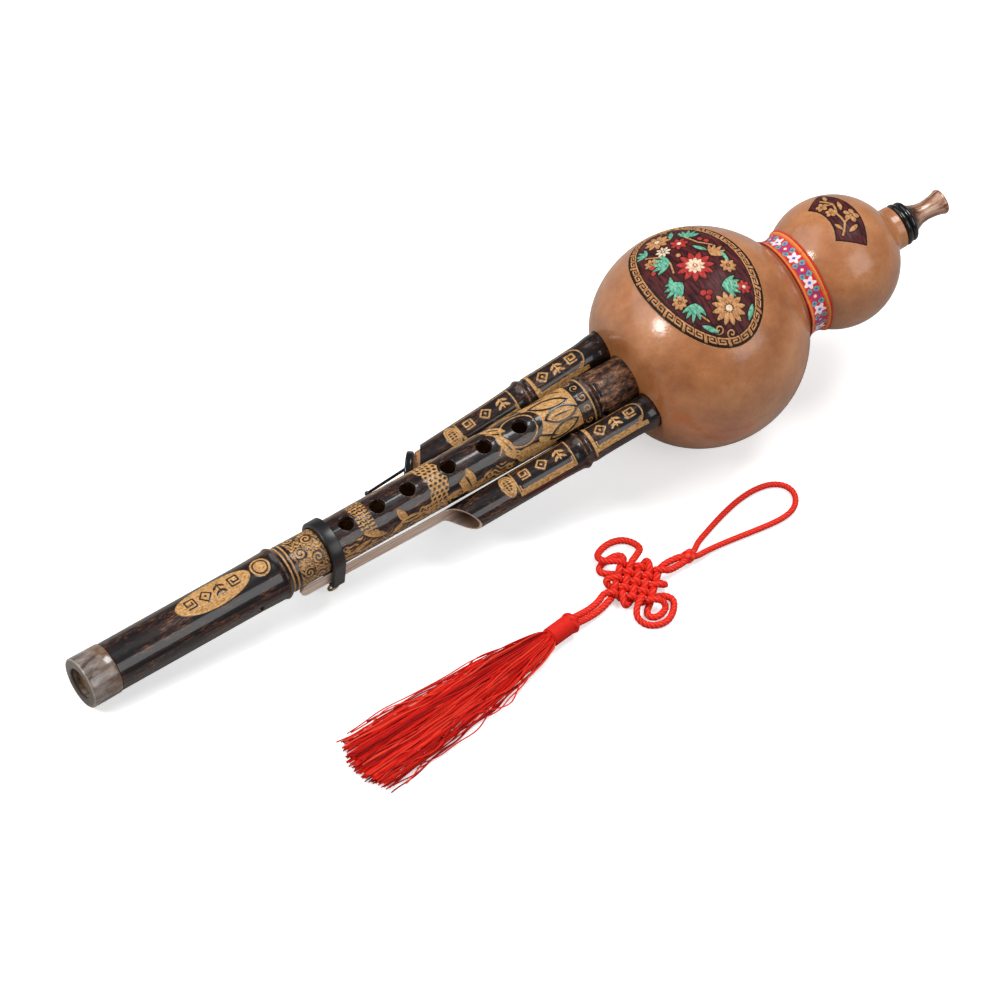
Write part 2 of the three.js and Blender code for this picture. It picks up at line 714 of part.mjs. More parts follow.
function stopperCork() {
  const radius = droneBore - clearance;
  const outT = stopperHeadT - 2 * headRadius;
  const stemEndT = stopperHeadT + stopperStemLength;
  const cork = toSolid(revolved([
    [outT, 0], [outT, radius], [stopperDepth - clearance, radius], [stopperDepth, radius - clearance],
    [stopperDepth, 0],
  ], ringSides));
  const stemHole = toSolid(rod(outT, stemEndT + clearance, stopperStem + clearance));
  const seated = cork.subtract(pastStopperPlane(headThickness / 2 + clearance)).subtract(tongueSideFlat());
  return inDroneFrame(seated.subtract(stemHole), 1);
}

function pullRodSeatT() {
  return stopperHeadT - pullRodIn * Math.tan(stopperSlant) - clearance;
}

function stopperHead() {
  const half = headThickness / 2;
  const disc = onStopperSlant(revolved([
    [-half, 0], [-half, headRadius - headRound], [headRound - half, headRadius],
    [half - headRound, headRadius], [half, headRadius - headRound], [half, 0],
  ], roundSides));
  const stem = toSolid(rod(stopperHeadT - headRadius, stopperHeadT + stopperStemLength, stopperStem));
  const seat = rod(pullRodSeatT() - pullRodLength, pullRodSeatT() + clearance, pullRodRadius + clearance);
  seat.translate(0, -pullRodIn, pullRodUp);
  const head = disc.subtract(tongueSideFlat()).add(stem.subtract(pastStopperPlane(0)));
  return inDroneFrame(head.subtract(toSolid(seat)), 1);
}

function stopperRod() {
  const endT = pullRodSeatT() - pullRodLength;
  const bar = rod(endT, pullRodSeatT(), pullRodRadius, wireSides);
  const knob = new THREE.SphereGeometry(pullKnobRadius, 12, 8);
  knob.translate(endT, 0, 0);
  const whole = toGeometry(toSolid(bar).add(toSolid(knob)));
  whole.translate(0, -pullRodIn, pullRodUp);
  return inDroneFrame(toSolid(whole), 1);
}

// Tassel

// A round bar along a curve, with a ring of points every step and flat ends
function sweptCord(points, radius, sides) {
  const count = points.length;
  const places = [];
  let normal = new THREE.Vector3(0, 0, 1);
  const ring = [];
  for (let i = 0; i < count; i += 1) {
    const tangent = points[Math.min(i + 1, count - 1)].clone().sub(points[Math.max(i - 1, 0)]).normalize();
    normal = normal.clone().sub(tangent.clone().multiplyScalar(normal.dot(tangent))).normalize();
    const other = tangent.clone().cross(normal);
    for (let k = 0; k < sides; k += 1) {
      const angle = (fullTurn * (k + 0.5)) / sides;
      const place = points[i].clone()
        .addScaledVector(normal, radius * Math.cos(angle))
        .addScaledVector(other, radius * Math.sin(angle));
      places.push(place.x, place.y, place.z);
    }
    ring.push(i * sides);
  }
  const faces = [];
  for (let i = 0; i + 1 < count; i += 1) {
    for (let k = 0; k < sides; k += 1) {
      const a = ring[i] + k;
      const b = ring[i] + (k + 1) % sides;
      faces.push(a, b, a + sides, b, b + sides, a + sides);
    }
  }
  for (let k = 1; k + 1 < sides; k += 1) {
    faces.push(0, k + 1, k);
    faces.push(ring[count - 1], ring[count - 1] + k, ring[count - 1] + k + 1);
  }
  const geometry = new THREE.BufferGeometry();
  geometry.setAttribute('position', new THREE.Float32BufferAttribute(places, 3));
  geometry.setIndex(faces);
  return toSolid(geometry);
}

function spaced(curve, step) {
  return curve.getSpacedPoints(Math.round(curve.getLength() / step));
}

function hangingLoop() {
  const curve = new THREE.CatmullRomCurve3(routed(loopRoute), false, 'centripetal');
  return sweptCord(spaced(curve, loopStep), cordRadius, wireSides);
}

function buttonKnot() {
  const shares = [-1, -0.8, -0.45, 0, 0.45, 0.8, 1];
  const profile = shares.map((share) => [
    share * buttonLength / 2,
    buttonRadius * Math.sqrt(1 - share ** 4 / 2),
  ]);
  profile.unshift([-buttonLength / 2, 0]);
  profile.push([buttonLength / 2, 0]);
  const geometry = revolved(profile, smallSides);
  geometry.rotateZ(Math.atan2(-headAxis.y, -headAxis.x));
  geometry.translate(buttonCentre.x, buttonCentre.y, buttonCentre.z);
  return toSolid(geometry);
}

// The endless knot: five strands each way, woven over and under, whose ends turn back
// at the rim, leave as ears, or run on to the button knot and the tassel's head.
// A place on the lattice is [i, j]; odd and even crossings pass over and under.
const weaveHigh = knotLift;
const weaveMiddle = knotLift + weaveCordRadius + clearance;

function lattice(i, j, height) {
  const u = knotPitch * (i + j - 4) * Math.cos(knotSlant);
  const v = knotPitch * (i - j) * Math.sin(knotSlant);
  return new THREE.Vector3(knotCentre.x + u, knotCentre.y - v, weaveMiddle + height);
}

function acrossStrand(j, forward) {
  const points = [];
  for (let i = 0; i <= 4; i += 1) points.push(lattice(i, j, (i + j) % 2 === 0 ? weaveHigh : -weaveHigh));
  return forward ? points : points.reverse();
}

function alongStrand(i, forward) {
  const points = [];
  for (let j = 0; j <= 4; j += 1) points.push(lattice(i, j, (i + j) % 2 === 0 ? -weaveHigh : weaveHigh));
  return forward ? points : points.reverse();
}

function rimTurn(fromI, fromJ, toI, toJ) {
  const outI = fromI === toI ? Math.sign(fromI - 2) : 0;
  const outJ = fromJ === toJ ? Math.sign(fromJ - 2) : 0;
  const middleI = (fromI + toI) / 2 + outI * knotTurnShare;
  const middleJ = (fromJ + toJ) / 2 + outJ * knotTurnShare;
  return [lattice(middleI, middleJ, 0)];
}

function routed(places) {
  return places.map(([x, y, z]) => new THREE.Vector3(x, y, z));
}

const bigFarEar = [
  [13.6, -53.2, 4.7], [12.9, -50.2, 3.2], [14.6, -47.4, 1.6], [18.8, -45.7, 1.4], [23.8, -45.4, 1.4],
  [28.4, -47.0, 1.4], [31.2, -50.6, 1.6], [31.0, -54.4, 3.0], [27.8, -56.8, 4.5],
];
const smallFarEar = [
  [11.4, -56.8, 1.6], [10.2, -54.9, 1.4], [11.8, -52.9, 1.4], [16.4, -51.8, 1.4], [21.6, -51.9, 1.4], [23.8, -53.4, 1.5],
];
const outerNearEar = [
  [12.2, -78.6, 4.3], [10.4, -82.0, 2.6], [12.0, -86.0, 1.5], [16.6, -88.8, 1.4], [22.0, -88.6, 1.4],
  [26.8, -85.4, 1.4], [29.2, -81.4, 1.4], [27.6, -78.6, 1.6],
];
const innerNearEar = [
  [16.2, -81.0, 1.6], [15.4, -83.2, 1.4], [17.4, -85.0, 1.4], [20.8, -85.0, 1.5], [23.8, -83.6, 2.6], [23.4, -81.2, 4.4],
];

const longTail = [[1.0, -70.6, 2.4], [-5.0, -71.8, 2.4]];
const shortTail = [[1.0, -67.2, 2.4], [-5.0, -68.6, 2.4]];

// Where a cord leaves the button knot, or enters the tassel's head, on this side of its middle
function cordStart(side) {
  const x = buttonCentre.x - buttonLength / 2 - seatGap;
  return new THREE.Vector3(x, buttonCentre.y + side * buttonCordSpacing / 2, buttonCentre.z);
}

function cordEnd(side) {
  return new THREE.Vector3(headTop.x + seatGap, headTop.y + side * buttonCordSpacing / 2, tasselHeadRadius);
}

function longKnotCord() {
  return [
    cordStart(-1), lattice(4.9, 4.2, weaveHigh / 2),
    ...acrossStrand(4, false), ...routed(bigFarEar), ...alongStrand(1, false), ...rimTurn(1, 0, 2, 0),
    ...alongStrand(2, true), ...rimTurn(2, 4, 3, 4), ...alongStrand(3, false), ...routed(outerNearEar),
    ...acrossStrand(1, false), ...rimTurn(0, 1, 0, 2), ...acrossStrand(2, true), ...rimTurn(4, 2, 4, 3),
    ...acrossStrand(3, false), ...routed(smallFarEar), ...alongStrand(0, false),
    lattice(-0.2, -0.9, 0), ...routed(longTail), cordEnd(-1),
  ];
}

function shortKnotCord() {
  return [
    cordStart(1), lattice(4.2, 4.9, -weaveHigh / 2),
    ...alongStrand(4, false), ...routed(innerNearEar), ...acrossStrand(0, false),
    lattice(-0.9, -0.2, 0), ...routed(shortTail), cordEnd(1),
  ];
}

function knotCurve(points) {
  return new THREE.CatmullRomCurve3(points, false, 'centripetal').getPoints(knotSteps * (points.length - 1));
}

function tasselHead() {
  const axisZ = tasselHeadRadius + tasselHeadRim + clearance;
  const profile = [[0, 0], [0, tasselHeadRadius * 0.65]];
  const ribLength = tasselHeadLength / tasselHeadRibs;
  for (let i = 0; i < tasselHeadRibs; i += 1) {
    const start = i * ribLength;
    const proud = i === 0 ? 2 * tasselHeadRim : tasselHeadRim;
    profile.push([start + ribLength * 0.15, tasselHeadRadius], [start + ribLength * 0.5, tasselHeadRadius + proud]);
    profile.push([start + ribLength * 0.85, tasselHeadRadius]);
  }
  profile.push([tasselHeadLength, tasselHeadRadius / 2], [tasselHeadLength, 0]);
  const geometry = revolved(profile, smallSides);
  geometry.rotateZ(Math.atan2(headAxis.y, headAxis.x));
  geometry.translate(headTop.x, headTop.y, axisZ);
  return toSolid(geometry);
}

// The skirt of strands: round under the head, spread flat and wide at its cut end,
// with a ridge for each bundle of strands
function tasselSkirt() {
  const along = new THREE.Vector3(skirtAxis.x, skirtAxis.y, 0);
  const across = new THREE.Vector3(-skirtAxis.y, skirtAxis.x, 0);
  const headLine = new THREE.Vector3(headAxis.x, headAxis.y, 0);
  const start = new THREE.Vector3(headTop.x, headTop.y, 0)
    .addScaledVector(headLine, tasselHeadLength + clearance);
  const ringSize = 2 * skirtStrandRidges;
  const places = [];
  for (let s = 0; s <= skirtSections; s += 1) {
    const share = s / skirtSections;
    const spread = Math.sin((halfTurn / 2) * Math.min(share * 1.15, 1));
    const halfWidth = tasselHeadRadius * 0.9 + (skirtEndWidth / 2 - tasselHeadRadius * 0.9) * share ** skirtFanShare;
    const halfHeight = tasselHeadRadius * 0.9 + (skirtEndHeight / 2 - tasselHeadRadius * 0.9) * spread;
    for (let k = 0; k < ringSize; k += 1) {
      const angle = (fullTurn * k) / ringSize;
      const proud = k % 2 === 0 ? 0 : -skirtRidge * Math.min(1, 3 * share);
      const y = (halfWidth + proud) * Math.cos(angle);
      const z = (halfHeight + proud) * Math.sin(angle) + halfHeight + clearance;
      const ragged = s === skirtSections ? 2 * skirtRidge * Math.sin(5 * angle) : 0;
      const place = start.clone().addScaledVector(along, share * skirtLength + ragged).addScaledVector(across, y);
      places.push(place.x, place.y, z + (1 - spread) * (tasselHeadRadius * 0.1));
    }
  }
  const faces = [];
  for (let s = 0; s < skirtSections; s += 1) {
    for (let k = 0; k < ringSize; k += 1) {
      const a = s * ringSize + k;
      const b = s * ringSize + (k + 1) % ringSize;
      faces.push(a, b, a + ringSize, b, b + ringSize, a + ringSize);
    }
  }
  const capAt = (ringStart, flip) => {
    const centre = new THREE.Vector3();
    for (let k = 0; k < ringSize; k += 1) centre.add(new THREE.Vector3().fromArray(places, (ringStart + k) * 3));
    centre.divideScalar(ringSize);
    const index = places.length / 3;
    places.push(centre.x, centre.y, centre.z);
    for (let k = 0; k < ringSize; k += 1) {
      const a = ringStart + k;
      const b = ringStart + (k + 1) % ringSize;
      faces.push(...(flip ? [index, b, a] : [index, a, b]));
    }
  };
  capAt(0, true);
  capAt(skirtSections * ringSize, false);
  const geometry = new THREE.BufferGeometry();
  geometry.setAttribute('position', new THREE.Float32BufferAttribute(places, 3));
  geometry.setIndex(faces);
  return toSolid(geometry);
}

// Assembly

const group = new THREE.Group();
const laid = new THREE.Group();
group.add(laid);

const gourd = gourdShell()
  .subtract(pipeEnvelope(clearance))
  .subtract(droneEnvelope(-1, nearNodeX, clearance))
  .subtract(droneEnvelope(1, farNodeX, clearance));
piece(laid, 'gourd', gourd, gourdSkin);
piece(laid, 'waist_ribbon', waistRibbon(), ribbonCloth);
piece(laid, 'neck_ring', neckRing(), blackPlastic);
piece(laid, 'mouthpiece', mouthpiece(), paleHorn);

piece(laid, 'main_pipe', mainPipe(), blackBamboo);
piece(laid, 'end_ferrule', endFerrule(), horn);
piece(laid, 'main_reed_plate', reedPlate(mainReed), brassSheet);
piece(laid, 'main_reed_tongue', reedTongue(mainReed), brassSheet);
piece(laid, 'main_pipe_plug', mainPipePlug(), beeswax);

piece(laid, 'near_drone', drone(-1, nearNodeX, null), blackBamboo);
piece(laid, 'near_drone_plug', dronePlug(-1), beeswax);
const reedOnDrone = { ...droneReed, centreX: droneAlong(droneReed.centreX) };
piece(laid, 'far_drone', drone(1, farNodeX, reedOnDrone), blackBamboo);
piece(laid, 'far_drone_plug', dronePlug(1), beeswax);
piece(laid, 'drone_reed_plate', inDroneFrame(reedPlate(reedOnDrone), 1), brassSheet);
piece(laid, 'drone_reed_tongue', inDroneFrame(reedTongue(reedOnDrone), 1), brassSheet);
piece(laid, 'pipe_seal', pipeSeal(), beeswax);

piece(laid, 'tongue_hoop', tongueHoop(), blackPlastic);
piece(laid, 'hanger_eye', hangerEye(), bronzeWire);
piece(laid, 'stopper_cork', stopperCork(), corkBark);
piece(laid, 'stopper_head', stopperHead(), blackPlastic);
piece(laid, 'stopper_rod', stopperRod(), blackPlastic);

// Tip the instrument until the big bulb and the horn ring's lower edge touch the table
const bulbFlat = Math.cos(halfTurn / roundSides);
const restAngles = gourdOutline(0, neckRadius).map(([x, radius]) => (
  Math.atan2((radius - ferruleRadius) * bulbFlat, x - ferruleEdge)
));
laid.rotation.y = -Math.max(...restAngles);
group.updateMatrixWorld(true);
const laidBox = new THREE.Box3().setFromObject(laid, true);
laid.position.set(-(laidBox.min.x + laidBox.max.x) / 2, -(laidBox.min.y + laidBox.max.y) / 2, -laidBox.min.z);

piece(group, 'hanging_loop', hangingLoop(), redCord);
piece(group, 'button_knot', buttonKnot(), redCord);
piece(group, 'endless_knot_long', sweptCord(knotCurve(longKnotCord()), weaveCordRadius, knotSides), redCord);
piece(group, 'endless_knot_short', sweptCord(knotCurve(shortKnotCord()), weaveCordRadius, knotSides), redCord);
piece(group, 'tassel_head', tasselHead(), redCord);
piece(group, 'tassel_skirt', tasselSkirt(), redCord);

export default group;
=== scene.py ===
# A hulusi, a gourd flute of southwest China, lying on a pale table with its red tassel beside it.
# Lengths are millimetres in the text and metres in the meshes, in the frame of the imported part.

import math

import bpy
import numpy as np
from mathutils import Matrix


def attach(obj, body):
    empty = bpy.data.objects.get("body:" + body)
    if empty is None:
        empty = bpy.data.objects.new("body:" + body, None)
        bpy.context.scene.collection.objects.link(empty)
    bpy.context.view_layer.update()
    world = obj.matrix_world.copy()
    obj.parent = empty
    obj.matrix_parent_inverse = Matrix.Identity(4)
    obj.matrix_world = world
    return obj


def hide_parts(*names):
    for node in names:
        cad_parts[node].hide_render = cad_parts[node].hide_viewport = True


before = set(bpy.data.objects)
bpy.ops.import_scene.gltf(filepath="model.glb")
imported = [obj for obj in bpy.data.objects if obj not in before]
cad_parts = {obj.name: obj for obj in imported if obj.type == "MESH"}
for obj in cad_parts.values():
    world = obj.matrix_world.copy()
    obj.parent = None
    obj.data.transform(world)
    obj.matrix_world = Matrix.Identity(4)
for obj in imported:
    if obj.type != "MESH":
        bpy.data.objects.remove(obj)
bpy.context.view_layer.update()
MM = 0.001


# Gourd.
# The wind chest is a dried bottle gourd with two bulbs and a waist, scraped, polished and varnished.
# Its base is softly flattened, and bored where the three pipes go in and are waxed.
TILT = math.radians(6.514118839)
SET_BACK, SET_UP = 215.140276, 11.154355
BIG_BULB_X, BIG_BULB_R = 308.5, 46.5
SMALL_BULB_X, SMALL_BULB_R = 377.4, 28.3
WAIST_FILLET, NECK_FILLET, NECK_R, NECK_END_X = 8.9, 4.0, 9.4, 409.7
GOURD_BASE_X, GOURD_WALL, BASE_BLEND, RIM_BREAK = 271.0, 4.0, 3.0, 0.4
NECK_BORE, INNER_THROAT = 5.3, 5.0
DRONE_LOW, DRONE_HIGH = (177.8, 15.5, -9.0), (GOURD_BASE_X, 17.8, -0.6)
DRONE_SOCKET, PIPE_SOCKET_R = [[80, 0], [80, 7.9], [118, 7.4], [118, 0]], 10.3


def laid(x, y, z):
    """Places in the instrument's frame, in mm, to the row frame in metres: tilted and set on the table."""
    x, y, z = np.broadcast_arrays(x, y, z)
    cos, sin = math.cos(TILT), math.sin(TILT)
    return np.stack([x * cos - z * sin - SET_BACK, y, x * sin + z * cos + SET_UP], -1) * MM


def round_angle(count):
    """Even angles once round, in radians."""
    return np.linspace(0, 2 * np.pi, count, endpoint=False)


def surface(name, grid, material, crease=40):
    """A closed mesh over points (rows, columns, 3). Rows join rows, and the last column joins the first. The
    last row is left out where it is the first again, and otherwise one flat face closes each end. The faces
    are turned so that the volume, the sum of det(a, b, c) over their triangles, is above 0."""
    ring = np.allclose(grid[0], grid[-1], atol=1e-7)
    grid = grid[:-1] if ring else grid
    rows, columns = grid.shape[:2]
    index = np.arange(rows * columns).reshape(rows, columns)
    after = np.roll(index, -1, 1)
    quads = np.stack([index, after, np.roll(after, -1, 0), np.roll(index, -1, 0)], -1)
    quads = (quads if ring else quads[:-1]).reshape(-1, 4)
    ends = np.zeros((0, columns), int) if ring else np.stack([index[0, ::-1], index[-1]])
    points = grid.reshape(-1, 3)
    a, b, c, d = (points[quads[:, k]] for k in range(4))
    volume = (np.cross(a, b) * c).sum() + (np.cross(a, c) * d).sum()
    for end in ends:
        volume += (np.cross(points[end[0]], points[end[1:-1]]) * points[end[2:]]).sum()
    if volume < 0:
        quads, ends = quads[:, ::-1], ends[:, ::-1]
    return mesh_object(name, points, [quads, ends], material, crease)


def mesh_object(name, points, face_groups, material, crease=40):
    """An object from points in metres and groups of like-cornered faces, smooth up to the crease angle."""
    mesh = bpy.data.meshes.new(name)
    mesh.vertices.add(len(points))
    mesh.vertices.foreach_set("co", np.ascontiguousarray(points, dtype=np.float32).ravel())
    corners = np.concatenate([group.ravel() for group in face_groups]).astype(np.int32)
    counts = np.concatenate([np.full(len(group), group.shape[1]) for group in face_groups]).astype(np.int32)
    mesh.loops.add(len(corners))
    mesh.loops.foreach_set("vertex_index", corners)
    mesh.polygons.add(len(counts))
    mesh.polygons.foreach_set("loop_start", np.concatenate([[0], np.cumsum(counts)[:-1]]).astype(np.int32))
    mesh.update(calc_edges=True)
    mesh.shade_smooth()
    mesh.set_sharp_from_angle(angle=math.radians(crease))
    mesh.materials.append(material)
    obj = bpy.data.objects.new(name, mesh)
    bpy.context.collection.objects.link(obj)
    return obj


def turned(name, profile, material, columns=128, place=laid):
    """A form of revolution about the instrument's x, from a closed or open profile of (x, radius) in mm."""
    profile = np.asarray(profile, float)
    angle = round_angle(columns)
    radius = np.maximum(profile[:, 1], 0.01)[:, None]
    grid = place(profile[:, 0][:, None], -radius * np.sin(angle), radius * np.cos(angle))
    return surface(name, grid, material)


def bored(obj, cutters):
    """Takes the cutters out of obj and deletes them."""
    for cutter in cutters:
        cut = obj.modifiers.new("cut", "BOOLEAN")
        cut.object = cutter
        cut.solver = "EXACT"
    depsgraph = bpy.context.evaluated_depsgraph_get()
    cut_mesh = bpy.data.meshes.new_from_object(obj.evaluated_get(depsgraph))
    cut_mesh.name = obj.name
    obj.modifiers.clear()
    obj.data = cut_mesh
    for cutter in cutters:
        bpy.data.meshes.remove(cutter.data)


def linear(colour):
    """sRGB hex to linear light: a channel c becomes ((c + 0.055) / 1.055) ** 2.4, or c / 12.92 if dark."""
    parts = [int(colour[i:i + 2], 16) / 255 for i in (1, 3, 5)]
    return [c / 12.92 if c <= 0.04045 else ((c + 0.055) / 1.055) ** 2.4 for c in parts] + [1.0]


def node(tree, kind, settings=None, links=None):
    """Adds one node. settings gives its properties and sockets, and a ramp's stops as (place, sRGB hex).
    links gives what feeds its sockets, or sRGB hex. A Mix of colours has its factor at socket 0, the colour
    below at 6 and the one laid over it at 7, and gives the result at 2."""
    new = tree.nodes.new(kind)
    for key, value in (settings or {}).items():
        if key == "stops":
            while len(new.color_ramp.elements) < len(value):
                new.color_ramp.elements.new(0.5)
            for element, (place, colour) in zip(new.color_ramp.elements, value):
                element.position = place
                element.color = linear(colour)
        elif isinstance(key, int) or key in new.inputs:
            new.inputs[key].default_value = value
        else:
            setattr(new, key, value)
    for key, source in (links or {}).items():
        if isinstance(source, str):
            new.inputs[key].default_value = linear(source)
        else:
            tree.links.new(source, new.inputs[key])
    return new


def finish(name, **values):
    """A Principled material with these values on its sockets. Gives the material, its tree and shader."""
    material = bpy.data.materials.new(name)
    material.use_nodes = True
    tree = material.node_tree
    tree.nodes.clear()
    sockets = {key.replace("_", " "): value for key, value in values.items()}
    shader = node(tree, "ShaderNodeBsdfPrincipled", sockets)
    node(tree, "ShaderNodeOutputMaterial", links={"Surface": shader.outputs[0]})
    return material, tree, shader


def pattern(tree, scale, stretch=(1, 1, 1), detail=3, roughness=0.5):
    """A cloudy pattern laid along the instrument in the piece's own mm, from 0 to 1: scale in features per
    mm, stretch for each axis."""
    place = node(tree, "ShaderNodeTexCoord").outputs["Object"]
    along = node(tree, "ShaderNodeMapping", {"Rotation": (0, TILT, 0)}, {"Vector": place})
    stretched = node(tree, "ShaderNodeMapping", {"Scale": [k / MM for k in stretch]},
                     {"Vector": along.outputs[0]})
    return node(tree, "ShaderNodeTexNoise", {"Scale": scale, "Detail": detail, "Roughness": roughness},
                {"Vector": stretched.outputs[0]}).outputs["Fac"]


def arc(centre_x, centre_r, radius, start, end, count):
    """Points (x, r) on a circle, at even angles from start to end."""
    angle = np.linspace(start, end, count)
    return np.stack([centre_x + radius * np.cos(angle), centre_r + radius * np.sin(angle)], -1)


def gourd_outline(inset, neck, fineness=1.0):
    """The gourd's outline (x, r): big bulb, waist, small bulb and neck, each arc tangent to the next. The
    base is flattened by x -> (x + f + sqrt((x - f)^2 + blend^2)) / 2, where f is the base's place."""
    big, small = BIG_BULB_R - inset, SMALL_BULB_R - inset
    waist, throat, spacing = WAIST_FILLET + inset, NECK_FILLET + inset, SMALL_BULB_X - BIG_BULB_X
    a, b = big + waist, small + waist
    big_angle = math.acos((a * a + spacing ** 2 - b * b) / (2 * a * spacing))
    small_angle = math.acos((b * b + spacing ** 2 - a * a) / (2 * b * spacing))
    neck_angle = math.asin((neck + throat) / (small + throat))
    throat_x = SMALL_BULB_X + (small + throat) * math.cos(neck_angle)
    outline = np.concatenate([
        arc(BIG_BULB_X, 0, big, math.pi, big_angle, int(130 * fineness)),
        arc(BIG_BULB_X + a * math.cos(big_angle), a * math.sin(big_angle), waist,
            math.pi + big_angle, 2 * math.pi - small_angle, int(24 * fineness))[1:],
        arc(SMALL_BULB_X, 0, small, math.pi - small_angle, neck_angle, int(56 * fineness))[1:],
        arc(throat_x, neck + throat, throat, math.pi + neck_angle, 1.5 * math.pi, int(10 * fineness))[1:],
    ])
    flat = GOURD_BASE_X + inset
    outline[:, 0] = (outline[:, 0] + flat + np.sqrt((outline[:, 0] - flat) ** 2 + BASE_BLEND ** 2)) / 2
    return outline


def gourd_lacquer():
    """Varnished gourd skin: a soft gloss coat over warm orange tan, cloudy with the brown of the scraped
    rind. Low ripples in skin and coat fray the reflections."""
    material, tree, shader = finish("varnished_gourd_skin", Roughness=0.45, Coat_Weight=0.75,
                                    Coat_Roughness=0.09)
    tans = [(0.34, "#965931"), (0.45, "#a6683b"), (0.56, "#b47445"), (0.68, "#c28556")]
    clouds = pattern(tree, 0.04, (1, 1, 1), 6, 0.66)
    colour = node(tree, "ShaderNodeValToRGB", {"stops": tans}, {"Fac": clouds}).outputs["Color"]
    patches = node(tree, "ShaderNodeMapRange", {"From Min": 0.55, "From Max": 0.75},
                   {"Value": pattern(tree, 0.16, (1, 1.2, 1), 6, 0.72)}).outputs[0]
    colour = node(tree, "ShaderNodeMix", {"data_type": "RGBA"},
                  {0: patches, 6: colour, 7: "#a56538"}).outputs[2]
    specks = node(tree, "ShaderNodeMapRange", {"From Min": 0.7, "From Max": 0.78},
                  {"Value": pattern(tree, 0.8, (1, 1, 1), 2)}).outputs[0]
    colour = node(tree, "ShaderNodeMix", {"data_type": "RGBA"},
                  {0: specks, 6: colour, 7: "#9a5a2b"}).outputs[2]
    tree.links.new(colour, shader.inputs["Base Color"])
    raised = node(tree, "ShaderNodeBump", {"Strength": 1.0, "Distance": 0.24 * MM},
                  {"Height": pattern(tree, 0.5, (1, 1, 1), 6, 0.7)})
    tree.links.new(raised.outputs[0], shader.inputs["Normal"])
    coat_raised = node(tree, "ShaderNodeBump", {"Strength": 1.0, "Distance": 0.08 * MM},
                       {"Height": pattern(tree, 0.6, (1, 1, 1), 3, 0.7)})
    tree.links.new(coat_raised.outputs[0], shader.inputs["Coat Normal"])
    return material


gourd_skin = gourd_lacquer()
neck_rim = [[NECK_END_X - RIM_BREAK, NECK_R], [NECK_END_X, NECK_R - RIM_BREAK], [NECK_END_X, NECK_BORE]]
outside = np.concatenate([gourd_outline(0, NECK_R), neck_rim])
inside = gourd_outline(GOURD_WALL, INNER_THROAT, 0.4)
inside[-1, 1] = NECK_BORE
gourd = turned("gourd_wind_chest", np.concatenate([outside, inside[::-1]]), gourd_skin, 224)


def drone_place(side):
    """For the drone on that side, -1 in front and +1 behind: a function from the drone's own mm to the row
    frame. Its t runs along the drone, h outward, away from the main pipe on the far side, and u up."""
    low, high = (np.array([x, side * y, z]) for x, y, z in (DRONE_LOW, DRONE_HIGH))
    along = (high - low) / np.linalg.norm(high - low)
    across = np.cross([0, 0, 1.0], along)
    across /= np.linalg.norm(across)
    top = np.cross(along, across)

    def place(t, y, z):
        t, y, z = np.broadcast_arrays(t, y, z)
        spot = low + t[..., None] * along + y[..., None] * across + z[..., None] * top
        return laid(spot[..., 0], spot[..., 1], spot[..., 2])
    return place


bored(gourd, [
    turned("near_cut", DRONE_SOCKET, gourd_skin, 64, drone_place(-1)),
    turned("far_cut", DRONE_SOCKET, gourd_skin, 64, drone_place(1)),
    turned("pipe_cut", [[262, 0], [262, PIPE_SOCKET_R], [300, PIPE_SOCKET_R], [300, 0]], gourd_skin, 96),
])
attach(gourd, "hulusi")
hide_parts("gourd")


# Carved panels on the gourd.
# An oval on the big bulb and a fan on the small one, stained maroon and cut in low relief. Flowers and leaves
# stand up tan, or are painted green, red and cream, and a key pattern runs round the oval.
OVAL_AT, OVAL_HALF = (-0.8, 7.3), (25.2, 39.8)
BORDER_WIDTH, HOOK_COUNT, HOOK_INSET, CUT_LINE = 5.0, 36, 2.7, 0.3
FAN_AT, FAN_REACH, FAN_TURN, BRANCH_REACH = (-20.0, 5.2), (17.8, 32.4), 0.63, 25
GROUND_RISE, FIGURE_RISE, LEAF_THICK = 0.06, 0.3, 0.6
FIGURE_TINTS = {
    "tan": ("#95613a", "#cf9a68"), "green": ("#377560", "#78bfa0"), "red": ("#86201f", "#bd3f3a"),
    "cream": ("#bf9d78", "#ecdcc4"),
}


def paint(obj, **layers):
    """Writes each layer, one value for each point, as an attribute that the material reads."""
    for name, values in layers.items():
        obj.data.attributes.new(name, "FLOAT", "POINT").data.foreach_set("value", values.astype(np.float32))
    return obj


def painted(tree, layer, low, high):
    """The mask of a layer painted on the mesh: 0 where it is below low, 1 above high, straight between."""
    value = node(tree, "ShaderNodeAttribute", {"attribute_name": layer}).outputs["Fac"]
    return node(tree, "ShaderNodeMapRange", {"From Min": low, "From Max": high}, {"Value": value}).outputs[0]


def several(shape, x, s, rows):
    """The highest of several like figures, one for each row of numbers."""
    return np.maximum.reduce([shape(x, s, *row) for row in rows])


def dot(x, s, x0, s0, radius):
    """How far inside a disc, in mm."""
    return radius - np.hypot(x - x0, s - s0)


def oval(x, s, x0, s0, half_x, half_s):
    """About how far inside an ellipse: (1 - the scaled distance) * the smaller half."""
    return (1 - np.hypot((x - x0) / half_x, (s - s0) / half_s)) * min(half_x, half_s)


def leaf(x, s, x0, s0, angle, length, width):
    """How far inside a pointed leaf: the overlap of two discs, centred at x0, s0 and turned by the angle."""
    along = (x - x0) * math.cos(angle) + (s - s0) * math.sin(angle)
    across = (s - s0) * math.cos(angle) - (x - x0) * math.sin(angle)
    radius = (length ** 2 / 4 + width ** 2 / 4) / width
    return radius - np.hypot(along, np.abs(across) + radius - width / 2)


